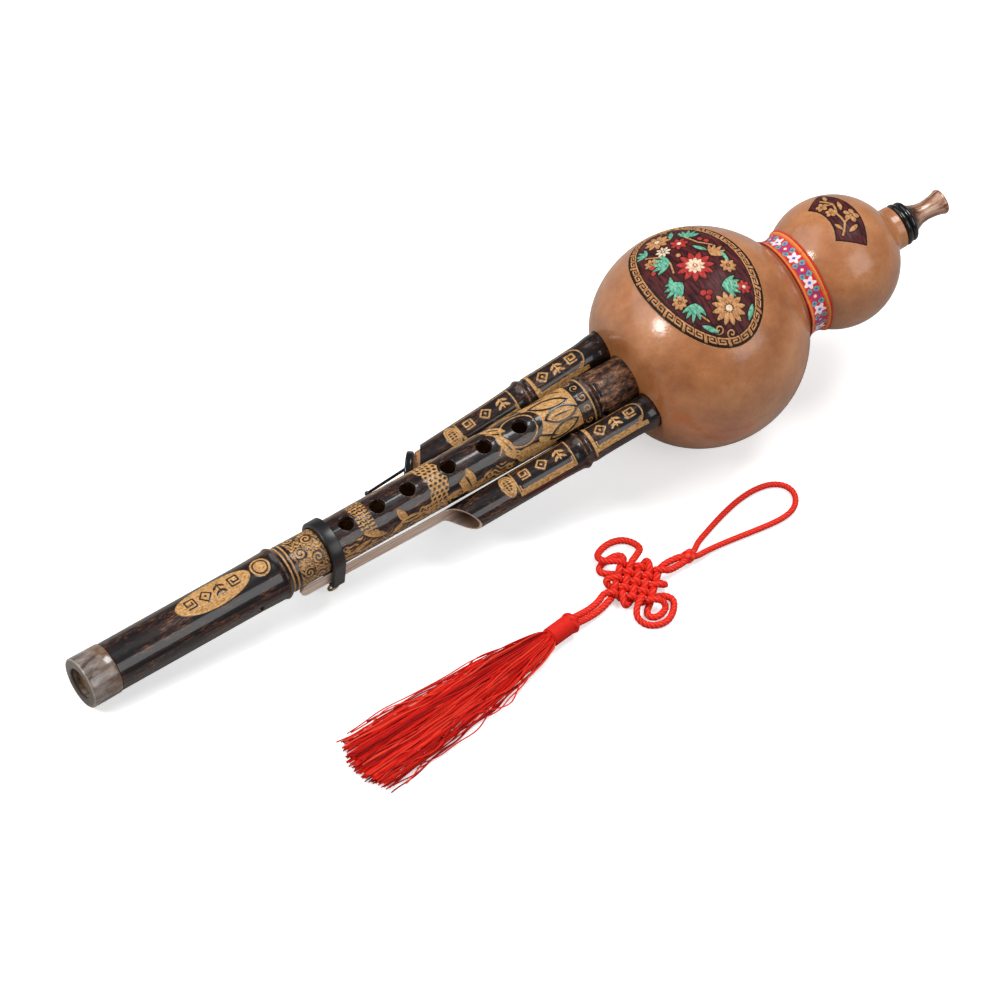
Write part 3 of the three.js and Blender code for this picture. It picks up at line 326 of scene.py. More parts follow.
def scroll(x, s, x0, s0, size, pitch, hand, turn, half):
    """A spiral line: half its width less pitch * |frac(r / pitch - hand * angle / 2 pi - turn) - 0.5|, cut
    off at its size."""
    far, angle = np.hypot(x - x0, s - s0), np.arctan2(s - s0, x - x0)
    line = half - pitch * np.abs((far / pitch - hand * angle / (2 * np.pi) - turn) % 1 - 0.5)
    return np.minimum(line, size - far)


def stroke(x, s, points, half):
    """A line through the points, half its width less the distance to it."""
    nearest = np.full(np.shape(x), np.inf)
    for (ax, a_s), (bx, bs) in zip(points[:-1], points[1:]):
        run, rise = bx - ax, bs - a_s
        share = np.clip(((x - ax) * run + (s - a_s) * rise) / (run * run + rise * rise), 0, 1)
        nearest = np.minimum(nearest, np.hypot(x - ax - share * run, s - a_s - share * rise))
    return half - nearest


def rosette(x, s, x0, s0, petals, size, width, turn=0.0):
    """Pointed petals all round a middle, each as long as the size, with a round eye."""
    far, angle = np.hypot(x - x0, s - s0), np.arctan2(s - s0, x - x0) + turn
    step = 2 * np.pi / petals
    folded = (angle / step) % 1 * step - step / 2
    petal = leaf(far * np.cos(folded), far * np.sin(folded), size * 0.6, 0, 0, size * 0.78, width)
    return np.maximum(petal, size * 0.14 - far)


def spray(x, s, x0, s0, turn, size, spread=0.42, count=5):
    """A fan of leaves from one point."""
    leaves = []
    for k in np.arange(count) - (count - 1) / 2:
        reach = size * (1 - 0.1 * abs(k)) / 2
        leaves.append(leaf(x, s, x0 + reach * math.cos(turn + k * spread),
                           s0 + reach * math.sin(turn + k * spread),
                           turn + k * spread, 2 * reach, size * 0.2))
    return np.maximum.reduce(leaves)


def key_border(along, inward, pitch):
    """Square hooks, mirrored by turns, along the border."""
    cell = np.floor(along / pitch)
    u = (along / pitch - cell - 0.5) * pitch * np.where(cell % 2 == 0, 1, -1)
    hook = [(-2.3, 1.25), (-2.3, 4.2), (2.1, 4.2), (2.1, 1.9), (-0.9, 1.9), (-0.9, 3.15), (0.85, 3.15)]
    return stroke(u, inward, hook, 0.33)


def oval_layers(p, q):
    """Layers of the oval panel, p and q in mm from its middle: above 0 within each colour."""
    half_p, half_q = OVAL_HALF
    scaled = np.hypot(p / half_p, q / half_q) + 1e-6
    inward = (1 - scaled) * scaled / np.hypot(p / half_p ** 2, q / half_q ** 2).clip(1e-4)
    turn = round_angle(p.shape[1])
    rim_step = np.hypot((half_p - HOOK_INSET) * np.sin(turn), (half_q - HOOK_INSET) * np.cos(turn))
    rim_step = rim_step * 2 * np.pi / len(turn)
    along = np.cumsum(rim_step)[None, :] + 0 * p
    key = key_border(along, inward, rim_step.sum() / HOOK_COUNT)
    tan = np.maximum.reduce([
        np.minimum(key, BORDER_WIDTH - inward), CUT_LINE - inward, spray(p, q, 9.6, 1.6, 0.35, 8.6, 0.36),
        dot(p, q, -1.4, 9.8, 1.1),
        several(rosette, p, q, [
            (1.5, -23.5, 12, 7.6, 2.3), (-2.0, 26.0, 9, 6.2, 2.4, 0.3), (12.8, -6.4, 8, 3.8, 1.7),
            (-14.6, -10.2, 8, 3.4, 1.6), (-12.4, 14.6, 7, 3.4, 1.6)]),
        several(scroll, p, q, [
            (-3.0, -33.2, 2.2, 1.8, 1, 0.1, 0.34), (9.5, -15.2, 2.6, 1.9, 1, 0.2, 0.34),
            (-7.2, -29.0, 2.2, 1.8, -1, 0.4, 0.32), (5.4, 31.2, 2.0, 1.8, 1, 0.1, 0.32)]),
        several(stroke, p, q, [
            ([(-12, 20), (-7.5, 14.5), (-6.5, 8.5), (-8.5, 3.0)], 0.4),
            ([(9.0, 24), (8.4, 18), (10.2, 11.6), (14.2, 7.0)], 0.4),
            ([(-9, -24), (-11, -19), (-10.5, -15)], 0.35)]),
    ])
    green = np.maximum(
        several(spray, p, q, [
            (-6.5, 8.5, 2.5, 9.5), (9.0, 17.5, 0.9, 8.5), (4.5, -13.5, -0.5, 9.5, 0.36),
            (-9.5, -14.5, -2.3, 8.5), (-8.5, -3.5, 3.3, 9.5, 0.34), (-10.5, 21.0, 2.0, 7.0, 0.5, 4)]),
        several(leaf, p, q, [
            (5.2, 25.4, 0.9, 8, 2.2), (-10.2, -27.0, 2.2, 8, 2.2), (9.6, -29.0, 0.8, 8, 2.2),
            (8.4, 8.0, 2.1, 7, 2.0), (-12.6, -1.2, 1.1, 8, 2.2), (14.6, -1.4, 1.5, 7, 1.8)]))
    red = np.maximum(
        several(rosette, p, q, [(0.6, 0.4, 11, 8.2, 2.6, 0.15), (3.4, 16.2, 7, 4.2, 1.9),
                                (12.8, -18.2, 7, 3.4, 1.6)]),
        several(dot, p, q, [
            (-4.2, -12.4, 1.3), (-1.8, -13.6, 1.2), (-3.6, -15.2, 1.1), (12.6, 13.6, 1.2), (14.0, 10.8, 1.2),
            (-13.4, 12.2, 1.2), (-15.0, 9.2, 1.1)]))
    cream = np.maximum(
        several(rosette, p, q, [(0.6, 0.4, 10, 4.2, 1.7), (-4.6, 16.8, 8, 3.6, 1.3)]),
        several(dot, p, q, [(1.5, -23.5, 1.5), (-2.0, 26.0, 1.3), (3.4, 16.2, 1.0), (12.8, -18.2, 0.8)]))
    field = inward - BORDER_WIDTH
    layers = {"tan": tan, "green": green, "red": red, "cream": cream}
    layers = {name: np.minimum(values, field) for name, values in layers.items()}
    layers["tan"] = np.maximum(layers["tan"], np.minimum(tan, BORDER_WIDTH - 0.1 - inward))
    return {"field": field, **layers}, inward


def fan_layers(p, q):
    """Layers of the fan: a flowering branch on maroon inside a dark edge and a tan line."""
    reach, turn = np.hypot(p - FAN_AT[0], q - FAN_AT[1]), np.arctan2(q - FAN_AT[1], p - FAN_AT[0])
    inward = np.minimum(np.minimum(reach - FAN_REACH[0], FAN_REACH[1] - reach),
                        reach * (FAN_TURN - np.abs(turn)))
    u, v = turn * BRANCH_REACH, reach - BRANCH_REACH
    branch = several(stroke, u, v, [
        ([(-12, -3.5), (-5.5, -1.2), (0.5, -2.0), (6, 1.2), (12, 0.4)], 0.5),
        ([(-5.5, -1.2), (-3.2, 2.6)], 0.42), ([(6, 1.2), (8.4, -2.6)], 0.42)])
    flowers = several(rosette, u, v, [(-2.8, 3.2, 5, 3.5, 2.2), (8.8, -3.2, 5, 3.1, 2.0),
                                      (2.6, -3.4, 5, 2.8, 1.9)])
    leaves = several(leaf, u, v, [
        (-9.0, 1.6, 1.0, 5.6, 1.9), (3.6, 2.6, 0.6, 6.0, 1.9), (-7.0, -4.4, -0.5, 5.0, 1.7),
        (11.4, 3.6, 0.9, 5.2, 1.8)])
    tan = np.maximum.reduce([0.28 - inward, branch, flowers, leaves])
    none = -9 + 0 * p
    return {"field": inward - 0.9, "tan": tan, "green": none, "red": none, "cream": none}, inward


def carved_stain():
    """Stained, carved skin: maroon with a cut grain, nearly black grooves, and figures in worn colours."""
    material, tree, shader = finish("stained_carved_gourd", Roughness=0.6, Specular_IOR_Level=0.15,
                                    Coat_Weight=0.05, Coat_Roughness=0.15)
    grain = pattern(tree, 0.9, (1, 0.16, 0.3), 4, 0.65)
    maroons = [(0.36, "#1d0a0b"), (0.48, "#42171a"), (0.66, "#602629")]
    ground = node(tree, "ShaderNodeValToRGB", {"stops": maroons}, {"Fac": grain}).outputs["Color"]
    colour = node(tree, "ShaderNodeMix", {"data_type": "RGBA"},
                  {0: painted(tree, "field", -0.15, 0.15), 6: "#24110f", 7: ground}).outputs[2]
    for name in FIGURE_TINTS:
        colour = node(tree, "ShaderNodeMix", {"data_type": "RGBA"},
                      {0: painted(tree, name, -0.62, -0.3), 6: colour, 7: "#190b09"}).outputs[2]
    wear = pattern(tree, 1.3, (1, 0.4, 1), 4, 0.7)
    for name, (dark, light) in FIGURE_TINTS.items():
        worn = node(tree, "ShaderNodeValToRGB", {"stops": [(0.36, dark), (0.62, light)]}, {"Fac": wear})
        colour = node(tree, "ShaderNodeMix", {"data_type": "RGBA"},
                      {0: painted(tree, name, -0.12, 0.12), 6: colour, 7: worn.outputs["Color"]}).outputs[2]
    tree.links.new(colour, shader.inputs["Base Color"])
    raised = node(tree, "ShaderNodeBump", {"Strength": 1.0, "Distance": 0.12 * MM}, {"Height": grain})
    tree.links.new(raised.outputs[0], shader.inputs["Normal"])
    return material


def carved_panel(name, centre_x, radius, p, q, layers, inward):
    """A closed leaf over rings from the panel's middle outward, p toward the mouthpiece and q away from the
    front, in mm over the bulb from its top. The figures stand above the ground, and the rim is flush."""
    figures = np.maximum.reduce([layers[key] for key in FIGURE_TINTS])
    height = (GROUND_RISE + FIGURE_RISE * np.clip(figures / 0.35, 0, 1)) * np.clip(inward / 0.25, 0, 1)
    height = np.concatenate([height, [np.full(p.shape[1], -LEAF_THICK)] * 2])
    p, q = np.concatenate([p, p[[-1, 0]]]), np.concatenate([q, q[[-1, 0]]])
    polar, turn, far = np.hypot(p, q) / radius, np.arctan2(q, p), radius + height
    grid = laid(centre_x + far * np.sin(polar) * np.cos(turn), far * np.sin(polar) * np.sin(turn),
                far * np.cos(polar))
    obj = surface(name, grid, carved_skin)
    paint(obj, **{key: np.concatenate([v, v[[-1, 0]]]).ravel() for key, v in layers.items()})
    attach(obj, "hulusi")


carved_skin = carved_stain()
rings = (np.arange(1, 121) / 120)[:, None]
rim_angle = round_angle(600)
oval_p, oval_q = rings * OVAL_HALF[0] * np.cos(rim_angle), rings * OVAL_HALF[1] * np.sin(rim_angle)
carved_panel("oval_panel_carved", BIG_BULB_X, BIG_BULB_R, oval_p + OVAL_AT[0], oval_q + OVAL_AT[1],
             *oval_layers(oval_p, oval_q))

side_share = np.linspace(-1, 1, 81)[:-1]
square_u = np.concatenate([side_share, 1 + 0 * side_share, -side_share, -1 + 0 * side_share])
square_v = np.roll(square_u, 80)
rings = (np.arange(1, 41) / 40)[:, None]
fan_turn = rings * square_u * FAN_TURN
fan_reach = (FAN_REACH[0] + FAN_REACH[1]) / 2 + rings * square_v * (FAN_REACH[1] - FAN_REACH[0]) / 2
fan_p, fan_q = FAN_AT[0] + fan_reach * np.cos(fan_turn), FAN_AT[1] + fan_reach * np.sin(fan_turn)
carved_panel("fan_panel_carved", SMALL_BULB_X, SMALL_BULB_R, fan_p, fan_q, *fan_layers(fan_p, fan_q))


# Flower ribbon round the waist.
# A woven jacquard ribbon, glued flat round the waist with a short overlap: red ground, orange stitched edges
# and a row of white five-petal flowers with curls and tendrils between them.
RIBBON_WIDTH, RIBBON_THICK, RIBBON_MEAN_R, FLOWER_COUNT = 10.5, 0.8, 24.5, 11
GLUE_GAP, OVERLAP_RISE, OVERLAP_TURN, RIB_PHASE = 0.05, 0.7, 1.15, 12
RIBBON_TINTS = {
    "stitch": "#e59a3a", "leaf": "#2fb0b4", "bud": "#8a2f8c", "petal": "#fbe6ec", "heart": "#5c6ad0",
}


def ribbon_weave():
    """Woven silk: matt red with a fine rib, coloured where the painted layers are above 0."""
    material, tree, shader = finish("woven_flower_ribbon", Roughness=0.78, Sheen_Weight=0.08)
    shade = node(tree, "ShaderNodeMapRange", {"From Min": 0.45, "From Max": 0.6},
                 {"Value": pattern(tree, 1.6, (1, 1, 1), 2)}).outputs[0]
    colour = node(tree, "ShaderNodeMix", {"data_type": "RGBA"},
                  {0: shade, 6: "#dc2413", 7: "#c01a12"}).outputs[2]
    for name, tint in RIBBON_TINTS.items():
        colour = node(tree, "ShaderNodeMix", {"data_type": "RGBA"},
                      {0: painted(tree, name, -0.05, 0.12), 6: colour, 7: tint}).outputs[2]
    tree.links.new(colour, shader.inputs["Base Color"])
    thread = node(tree, "ShaderNodeAttribute", {"attribute_name": "thread"}).outputs["Fac"]
    weave = node(tree, "ShaderNodeMath", {"operation": "SINE"}, {0: thread})
    raised = node(tree, "ShaderNodeBump", {"Strength": 1.0, "Distance": 0.06 * MM},
                  {"Height": weave.outputs[0]})
    tree.links.new(raised.outputs[0], shader.inputs["Normal"])
    return material


def waist_place():
    """x of the waist's middle and its radius there."""
    a, b = BIG_BULB_R + WAIST_FILLET, SMALL_BULB_R + WAIST_FILLET
    spacing = SMALL_BULB_X - BIG_BULB_X
    middle = BIG_BULB_X + a * (a * a + spacing ** 2 - b * b) / (2 * a * spacing)
    return middle, math.sqrt(a * a - (middle - BIG_BULB_X) ** 2)


def flower_layers(u, v, pitch):
    """Layers over the ribbon, u mm along it, v mm across: distances inside each figure, above 0 within it.
    The layer thread grows by 12 radians a mm, for a rib every 0.5 mm, coarser than silk so that it shows."""
    cell = (u / pitch + 0.5) % 1 - 0.5
    cu = cell * pitch
    angle, far = np.arctan2(v, cu), np.hypot(cu, v)
    petal = np.minimum(2.5 + 0.7 * np.cos(5 * angle) - far, 0.3 + np.abs(np.sin(2.5 * angle)) * far * 0.5)
    side = np.abs(np.abs(cu) - pitch / 2)
    curl = 0.42 - np.abs(np.hypot(side - 0.2, v) - 1.9)
    tendril = 0.4 - np.abs(np.hypot(side - 3.0, np.abs(v) - 1.7) - 0.95)
    centre = 0.75 - np.hypot(side, v)
    bud = np.maximum(curl, 0.6 - np.hypot(side - 3.0, np.abs(v) - 1.7))
    stitch = 0.3 - np.abs(np.abs(v) - 4.3)
    dashes = 0.36 - np.hypot((u * 1.25) % 1 - 0.5, (np.abs(v) - 3.5) * 1.2)
    return {
        "petal": np.maximum(petal, centre), "heart": 0.8 - far, "leaf": tendril, "bud": bud,
        "stitch": np.maximum(stitch, dashes), "thread": u * RIB_PHASE,
    }


def waist_ribbon():
    """Rings at even steps across the ribbon, each at the waist fillet's own radius, its outside first and its
    back after. The overlap lifts the outside by the root of its length over a short turn."""
    middle, arm = waist_place()
    pitch = 2 * math.pi * RIBBON_MEAN_R / FLOWER_COUNT
    across = np.linspace(-RIBBON_WIDTH / 2, RIBBON_WIDTH / 2, 28)
    angle = round_angle(560)
    low = arm - np.sqrt(WAIST_FILLET ** 2 - across ** 2)
    from_overlap = np.abs((angle - OVERLAP_TURN + np.pi) % (2 * np.pi) - np.pi)
    overlap = OVERLAP_RISE * np.clip(0.9 - from_overlap * 3.2, 0, 1) ** 0.4
    face = low[:, None] + RIBBON_THICK + overlap + 0 * angle
    back = (low[::-1])[:, None] + GLUE_GAP + 0 * angle
    xs = np.concatenate([middle + across, middle + across[::-1]])[:, None]
    radius = np.concatenate([face, back])
    grid = laid(xs, -radius * np.sin(angle), radius * np.cos(angle))
    grid = np.concatenate([grid, grid[:1]])
    obj = surface("waist_ribbon_woven", grid, ribbon_weave())
    u = (angle * RIBBON_MEAN_R)[None, :] + 0 * grid[:, :, 0]
    v = np.concatenate([across, across[::-1], across[:1]])[:, None] + 0 * u
    layers = flower_layers(u, v, pitch)
    return paint(obj, **{name: values[:-1].ravel() for name, values in layers.items()})


ribbon = waist_ribbon()
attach(ribbon, "hulusi")
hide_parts("waist_ribbon")


# Neck ring and mouthpiece.
# A turned ring of black plastic, two beads wide, covers the joint between the gourd's neck and the
# mouthpiece, which is turned from pale horn, streaked with brown, and polished.
RING_GAP, RING_LENGTH, RING_BACK_R, BEAD_R = 0.3, 5.8, 7.1, 1.45
TENON_X, TENON_R, HORN_BORE, HORN_LENGTH, LIP_R = 393.7, 5, 1.6, 18, 1.2


def black_gloss():
    """Polished black plastic: deep black under a sharp reflection."""
    return finish("polished_black_plastic", Base_Color=linear("#141416"), Roughness=0.16)[0]


def pale_horn():
    """Polished pale horn: cream with brown streaks along the grain, a little light passing through."""
    material, tree, shader = finish("polished_pale_horn", Roughness=0.2, Subsurface_Weight=0.12,
                                    Subsurface_Radius=(0.004, 0.002, 0.001), Coat_Weight=0.4,
                                    Coat_Roughness=0.06)
    creams = [(0.36, "#5a3828"), (0.46, "#8f6550"), (0.56, "#b58d76"), (0.7, "#c9a890")]
    grain = pattern(tree, 0.45, (0.12, 1, 1), 4, 0.6)
    colour = node(tree, "ShaderNodeValToRGB", {"stops": creams}, {"Fac": grain}).outputs["Color"]
    colour = node(tree, "ShaderNodeMix", {"data_type": "RGBA"},
                  {0: painted(tree, "from_base", 0.6, 4.4), 6: "#3f261b", 7: colour}).outputs[2]
    tree.links.new(colour, shader.inputs["Base Color"])
    return material


def points_of(obj):
    """The mesh's points as an array (n, 3), in metres."""
    flat = np.empty(3 * len(obj.data.vertices), np.float32)
    obj.data.vertices.foreach_get("co", flat)
    return flat.reshape(-1, 3).astype(float)


black_plastic = black_gloss()
ring_x = NECK_END_X + RING_GAP
beads = np.concatenate([
    arc(ring_x + BEAD_R, 7.95, BEAD_R, math.pi, 0, 24),
    arc(ring_x + 3 * BEAD_R, 7.45, BEAD_R, math.pi, 0, 24),
])
horn_x = ring_x + RING_LENGTH
ring_profile = [
    [ring_x, NECK_BORE], *beads, [horn_x, RING_BACK_R], [horn_x, NECK_BORE], [ring_x, NECK_BORE]]
neck_ring = turned("neck_ring_turned", ring_profile, black_plastic, 96)
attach(neck_ring, "hulusi")
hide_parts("neck_ring")

bell_shares = np.array([0, 0.1, 0.22, 0.36, 0.5, 0.64, 0.8, 0.92])
bell_radii = np.array([7, 6.02, 4.9, 4.34, 4.2, 4.2875, 4.9, 5.6])
bell_curve = np.polynomial.Polynomial.fit(bell_shares, bell_radii, 5)
even_shares = np.linspace(0, 0.92, 40)
bell = np.stack([horn_x + even_shares * HORN_LENGTH, bell_curve(even_shares)], -1)
lip = arc(horn_x + HORN_LENGTH - LIP_R, 4.4, LIP_R, math.radians(60), 0, 8)
horn_profile = [
    [TENON_X, HORN_BORE], [TENON_X, TENON_R], [horn_x, TENON_R], *bell, *lip,
    [horn_x + HORN_LENGTH, HORN_BORE + 0.5], [horn_x + HORN_LENGTH - 0.8, HORN_BORE], [TENON_X, HORN_BORE]]
mouthpiece = turned("mouthpiece_turned", horn_profile, pale_horn(), 96)
from_tip = points_of(mouthpiece)[:, 0] / MM
paint(mouthpiece, from_base=from_tip - points_of(neck_ring)[:, 0].max() / MM + 1.0)
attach(mouthpiece, "hulusi")
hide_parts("mouthpiece")


# Main pipe.
# Purple bamboo, scraped, blackened and varnished. Figures carved round six smooth dark fields with finger
# holes are painted gold, as are a label and a coin near the end. Above the upper node the bark is left on.
PIPE_LOW_X, PIPE_TOP_X, PIPE_BORE = 3.3, 306.0, 6.9
SPIGOT_X, SPIGOT_R, PIPE_MEAN_R = 14.3, 9.1, 10.2
LOW_NODE_X, HIGH_NODE_X, BARK_X = 96.7, 251.3, 254.5
CARVED_FROM_X, CARVED_TO_X = 119, 226
FINGER_HOLE_XS, FINGER_HOLE_R = [130.7, 146.1, 161.2, 181.3, 199.3, 217.2], 3.5
TONE_HOLE_XS, TONE_HOLE_R, THUMB_HOLE_X, THUMB_HOLE_R = (52, 68), 2.8, 229, 3.2
CORD_HOLE_X, CORD_HOLE_R = 82, 1.6
GOLD_DEPTH, FIELD_DEPTH = 0.22, 0.12
NO_GOLD, BORE_MARK = -9, 30
KNOTS = [(106.5, -7.5, 1), (112.5, -3.0, -1), (106.8, 2.0, 1), (113.0, 6.8, -1), (107.0, 11.5, 1),
         (112.6, 16.0, -1)]


def node_swell(away):
    """At d mm above a node: 0.8 e^-(d / 1.3)^2 for its ridge and 0.35 e^-(d / 8)^2 for its swell, less
    0.4 e^-((d - 2.6) / 0.9)^2 for the leaf scar."""
    ridge, swell = 0.8 * np.exp(-(away / 1.3) ** 2), 0.35 * np.exp(-(away / 8) ** 2)
    return ridge + swell - 0.4 * np.exp(-((away - 2.6) / 0.9) ** 2)


def pipe_radius(x):
    """10.8 below the lower node, 10.1 falling to 9.9 above it, and each node's shape."""
    past = 1 / (1 + np.exp(-(x - LOW_NODE_X) / 1.3))
    radius = 10.8 + (10.1 - 0.2 * (x - LOW_NODE_X) / (GOURD_BASE_X - LOW_NODE_X) - 10.8) * past
    return radius + node_swell(x - LOW_NODE_X) + node_swell(x - HIGH_NODE_X)


def between(place, low, high):
    """How far inside the stretch from low to high."""
    return np.minimum(place - low, high - place)


def net(x, s, pitch, hole):
    """A gold net: above 0 outside the round holes of a staggered grid."""
    row = np.round(s / (pitch * 0.87))
    cell = (x / pitch + 0.5 * (row % 2)) % 1 - 0.5
    return np.hypot(cell * pitch, s - row * pitch * 0.87) - hole


def fret(x, s, x0, s0, size, hand):
    """A square key figure: a line that turns inward on itself."""
    steps = [(-1, 1), (1, 1), (1, -1), (-1, -1), (-1, 0.3), (0.35, 0.3), (0.35, -0.35)]
    return stroke(x, s, [(x0 + hand * size * a, s0 + size * b) for a, b in steps], 0.36)


def lozenge(x, s, x0, s0, size):
    """A diamond outline with a spot in it."""
    reach = size - np.abs(x - x0) - np.abs(s - s0)
    return np.maximum(0.36 - np.abs(reach) * 0.7, 0.6 - np.hypot(x - x0, s - s0))


def sprig(x, s, x0, s0, size):
    """A stem across the pipe with two pairs of leaves."""
    stem = stroke(x, s, [(x0, s0 - size), (x0, s0 + size)], 0.3)
    leaves = [leaf(x, s, x0 + a * 1.5, s0 + b * size * 0.7, a * 0.7, 3.6, 1.2)
              for a in (-1, 1) for b in (-0.6, 0.8)]
    return np.maximum.reduce([stem, *leaves])


def label_gold(x, s):
    """The oval label with its cut figures, the coin below the node and the two lines above it."""
    cuts = np.maximum.reduce([
        fret(x, s, 55.2, -1.8, 2.1, 1), lozenge(x, s, 62.4, -1.8, 2.8), sprig(x, s, 69.2, -1.8, 2.9),
        fret(x, s, 76.2, -1.8, 2.1, -1)])
    label = np.minimum(oval(x, s, 65.8, -1.6, 17.9, 6.4), -cuts)
    coin_ring = 0.35 - np.abs(np.hypot(x - 88.9, s + 1.4) - 3.1)
    coin = np.minimum(dot(x, s, 88.9, -1.4, 4.3), -coin_ring)
    return np.maximum.reduce([label, coin, 0.4 - np.abs(x - 99.3), 0.4 - np.abs(x - 101.3)])


def knot_band_gold(x, s):
    """Swirling lines, s + waves folded every 1.7 mm, that wind into spirals at the knots."""
    waves = s + 1.3 * np.sin(x * 0.9 + 1.6 * np.sin(s * 0.5)) + 0.9 * np.sin(x * 2.1 + s)
    swirls = 0.5 - 1.7 * np.abs((waves / 1.7) % 1 - 0.5)
    spirals = several(scroll, x, s, [(x0, s0, 2.6, 1.7, hand, 0.2, 0.42) for x0, s0, hand in KNOTS])
    near_knot = several(dot, x, s, [(x0, s0, 2.9) for x0, s0, _ in KNOTS])
    return np.where(near_knot > 0, spirals, swirls)


def front_gold(x, s):
    """What is carved along the front between the holes: wings of leaves with cut veins, spirals on their
    stems, ripples, and a wavy line with leaves behind."""
    wings = several(leaf, x, s, [
        (186.0, 9.8, 1.35, 15, 7.6), (180.4, 13.6, 0.15, 12, 4.2), (189.6, 15.2, -0.5, 10, 3.6),
        (210.4, 10.6, 0.6, 12, 4.0), (212.6, 13.4, 1.2, 9, 4.2), (153.8, 9.4, 1.2, 8, 3.6),
        (157.6, 12.6, 0.1, 12, 3.4), (150.6, 14.0, -0.5, 8, 2.6), (140.0, 10.8, 0.5, 12, 3.0),
        (132.0, 13.0, -0.2, 12, 2.4), (127.6, 16.4, 0.3, 11, 2.0)])
    veins = np.maximum(
        several(leaf, x, s, [(186.4, 10.4, 1.35, 9, 0.9), (157.8, 12.6, 0.1, 8, 0.8)]),
        several(scroll, x, s, [(181.6, 13.9, 1.7, 1.4, 1, 0.2, 0.3), (210.4, 10.9, 1.7, 1.4, -1, 0.2, 0.3)]))
    wings = np.minimum(wings, -veins)
    spirals = several(scroll, x, s, [(x0, s0, size, 1.9, hand, turn, 0.42) for x0, s0, size, hand, turn in (
        (125.4, 11.6, 2.4, 1, 0.1), (135.6, 17.4, 2.6, -1, 0.4), (145.8, 17.8, 2.4, 1, 0.7),
        (163.6, 12.4, 2.4, -1, 0.2), (160.6, 18.2, 2.6, 1, 0.5), (168.4, 18.6, 2.4, -1, 0.1),
        (174.6, 15.8, 2.2, 1, 0.6), (196.2, 13.4, 3.0, -1, 0.3), (200.8, 18.0, 2.8, 1, 0.8),
        (193.0, 19.4, 2.2, -1, 0.1), (205.6, 14.8, 2.2, 1, 0.4), (215.4, 14.6, 2.6, -1, 0.6),
        (184.4, 20.2, 2.4, 1, 0.2), (176.4, 21.4, 2.2, -1, 0.5), (151.6, 20.6, 2.4, 1, 0.9))])
    stems = several(stroke, x, s, [(points, 0.42) for points in (
        [(122, 14.6), (127, 13.2), (132, 15.4), (138, 14.6), (143, 16.0)],
        [(124, 19.4), (130, 20.2), (137, 21.6), (146, 21.2)],
        [(154, 17.6), (158, 15.4), (163, 16.2), (169, 21.4), (175, 18.8)],
        [(188, 18.6), (192, 16.0), (197, 17.0), (203, 20.8)],
        [(186, 23.0), (194, 23.4), (204, 23.0), (212, 19.6), (218, 17.4)])])
    folded = (s + 1.5 * np.sin(x * 0.42) + 0.8 * np.sin(x * 0.9 + s * 0.4)) / 2.2
    ripples = 0.4 - 2.2 * np.abs(folded % 1 - 0.5)
    rippled = several(oval, x, s, [
        (131.0, 14.6, 10.5, 6.2), (148.6, 17.6, 7.5, 5.0), (166.4, 16.4, 9.0, 5.8), (200.4, 15.8, 9.5, 5.4),
        (214.0, 19.8, 8.0, 4.6)])
    ripples = np.minimum.reduce([ripples, rippled, -wings - 0.7])
    far_line = np.minimum(0.35 - np.abs(s + 8.6 + 0.8 * np.sin(x * 0.45)), between(x, 145, 222))
    far_leaves = several(leaf, x, s, [(x0, -10.4, turn, 8, 2.6) for x0, turn in (
        (152.5, 0.3), (163.0, -0.3), (176.0, 0.2), (190.5, 0.3), (198.0, -0.2), (209.5, 0.3), (216.0, -0.3),
        (127.0, 0.2))])
    return np.maximum.reduce([wings, spirals, stems, ripples, far_line, far_leaves])


def gold_over_fields(x, s):
    """What runs across the dark fields: a bent net of scales, a brick wall, petals and folded leaves."""
    bend = 164.5 + 9.5 * np.cos(np.clip(s - 2, -16, 22) * 0.085)
    scales = np.minimum.reduce([net(x - bend, s, 2.3, 0.74), 4.6 - np.abs(x - bend), between(s, -12, 16.5)])
    joints = (x + 1.3 * (np.floor(s / 1.7) % 2)) / 2.6
    bricks = np.maximum(0.3 - np.abs((s / 1.7) % 1 - 0.5) * 1.7, 0.3 - np.abs(joints % 1 - 0.5) * 2.6)
    wall = np.minimum.reduce([bricks, between(x, 134.2, 141.6), between(s, -11, 8.0 + (x - 136) * 0.5)])
    ground = np.minimum.reduce([between(x, 222, 243.5), s + 13, 13.5 + (243.5 - x) * 0.1 - s])
    bloom = np.maximum(0.5 - np.abs(leaf(x, s, 235.6, 4.2, 0.1, 15, 6.4)),
                       0.5 - np.abs(leaf(x, s, 233.0, -2.6, 0.3, 17, 5.2)))
    folds = np.maximum.reduce([
        bloom, 0.45 - np.abs(leaf(x, s, 234.4, 10.8, -0.2, 15, 5.4)), oval(x, s, 217.4, 1.4, 9.4, 8.6),
        several(leaf, x, s, [
            (235.6, 4.2, 0.1, 9, 0.8), (229.4, -8.6, 0.2, 14, 1.3), (238.8, -8.2, 0.9, 8, 1.1),
            (226.4, 9.8, 0.5, 12, 1.1)])])
    petals = np.minimum(np.maximum(ground, leaf(x, s, 221.0, 14.2, 0.35, 22, 7.0)), -folds)
    fold_leaf = np.minimum(several(leaf, x, s, [(208.0, 5.2, 1.3, 15, 4.6), (206.4, -5.0, 0.7, 12, 4.0)]),
                           -several(leaf, x, s, [(208.4, 5.4, 1.3, 10, 0.9), (206.6, -5.0, 0.7, 7, 0.7)]))
    return np.maximum.reduce([scales, wall, petals, fold_leaf])


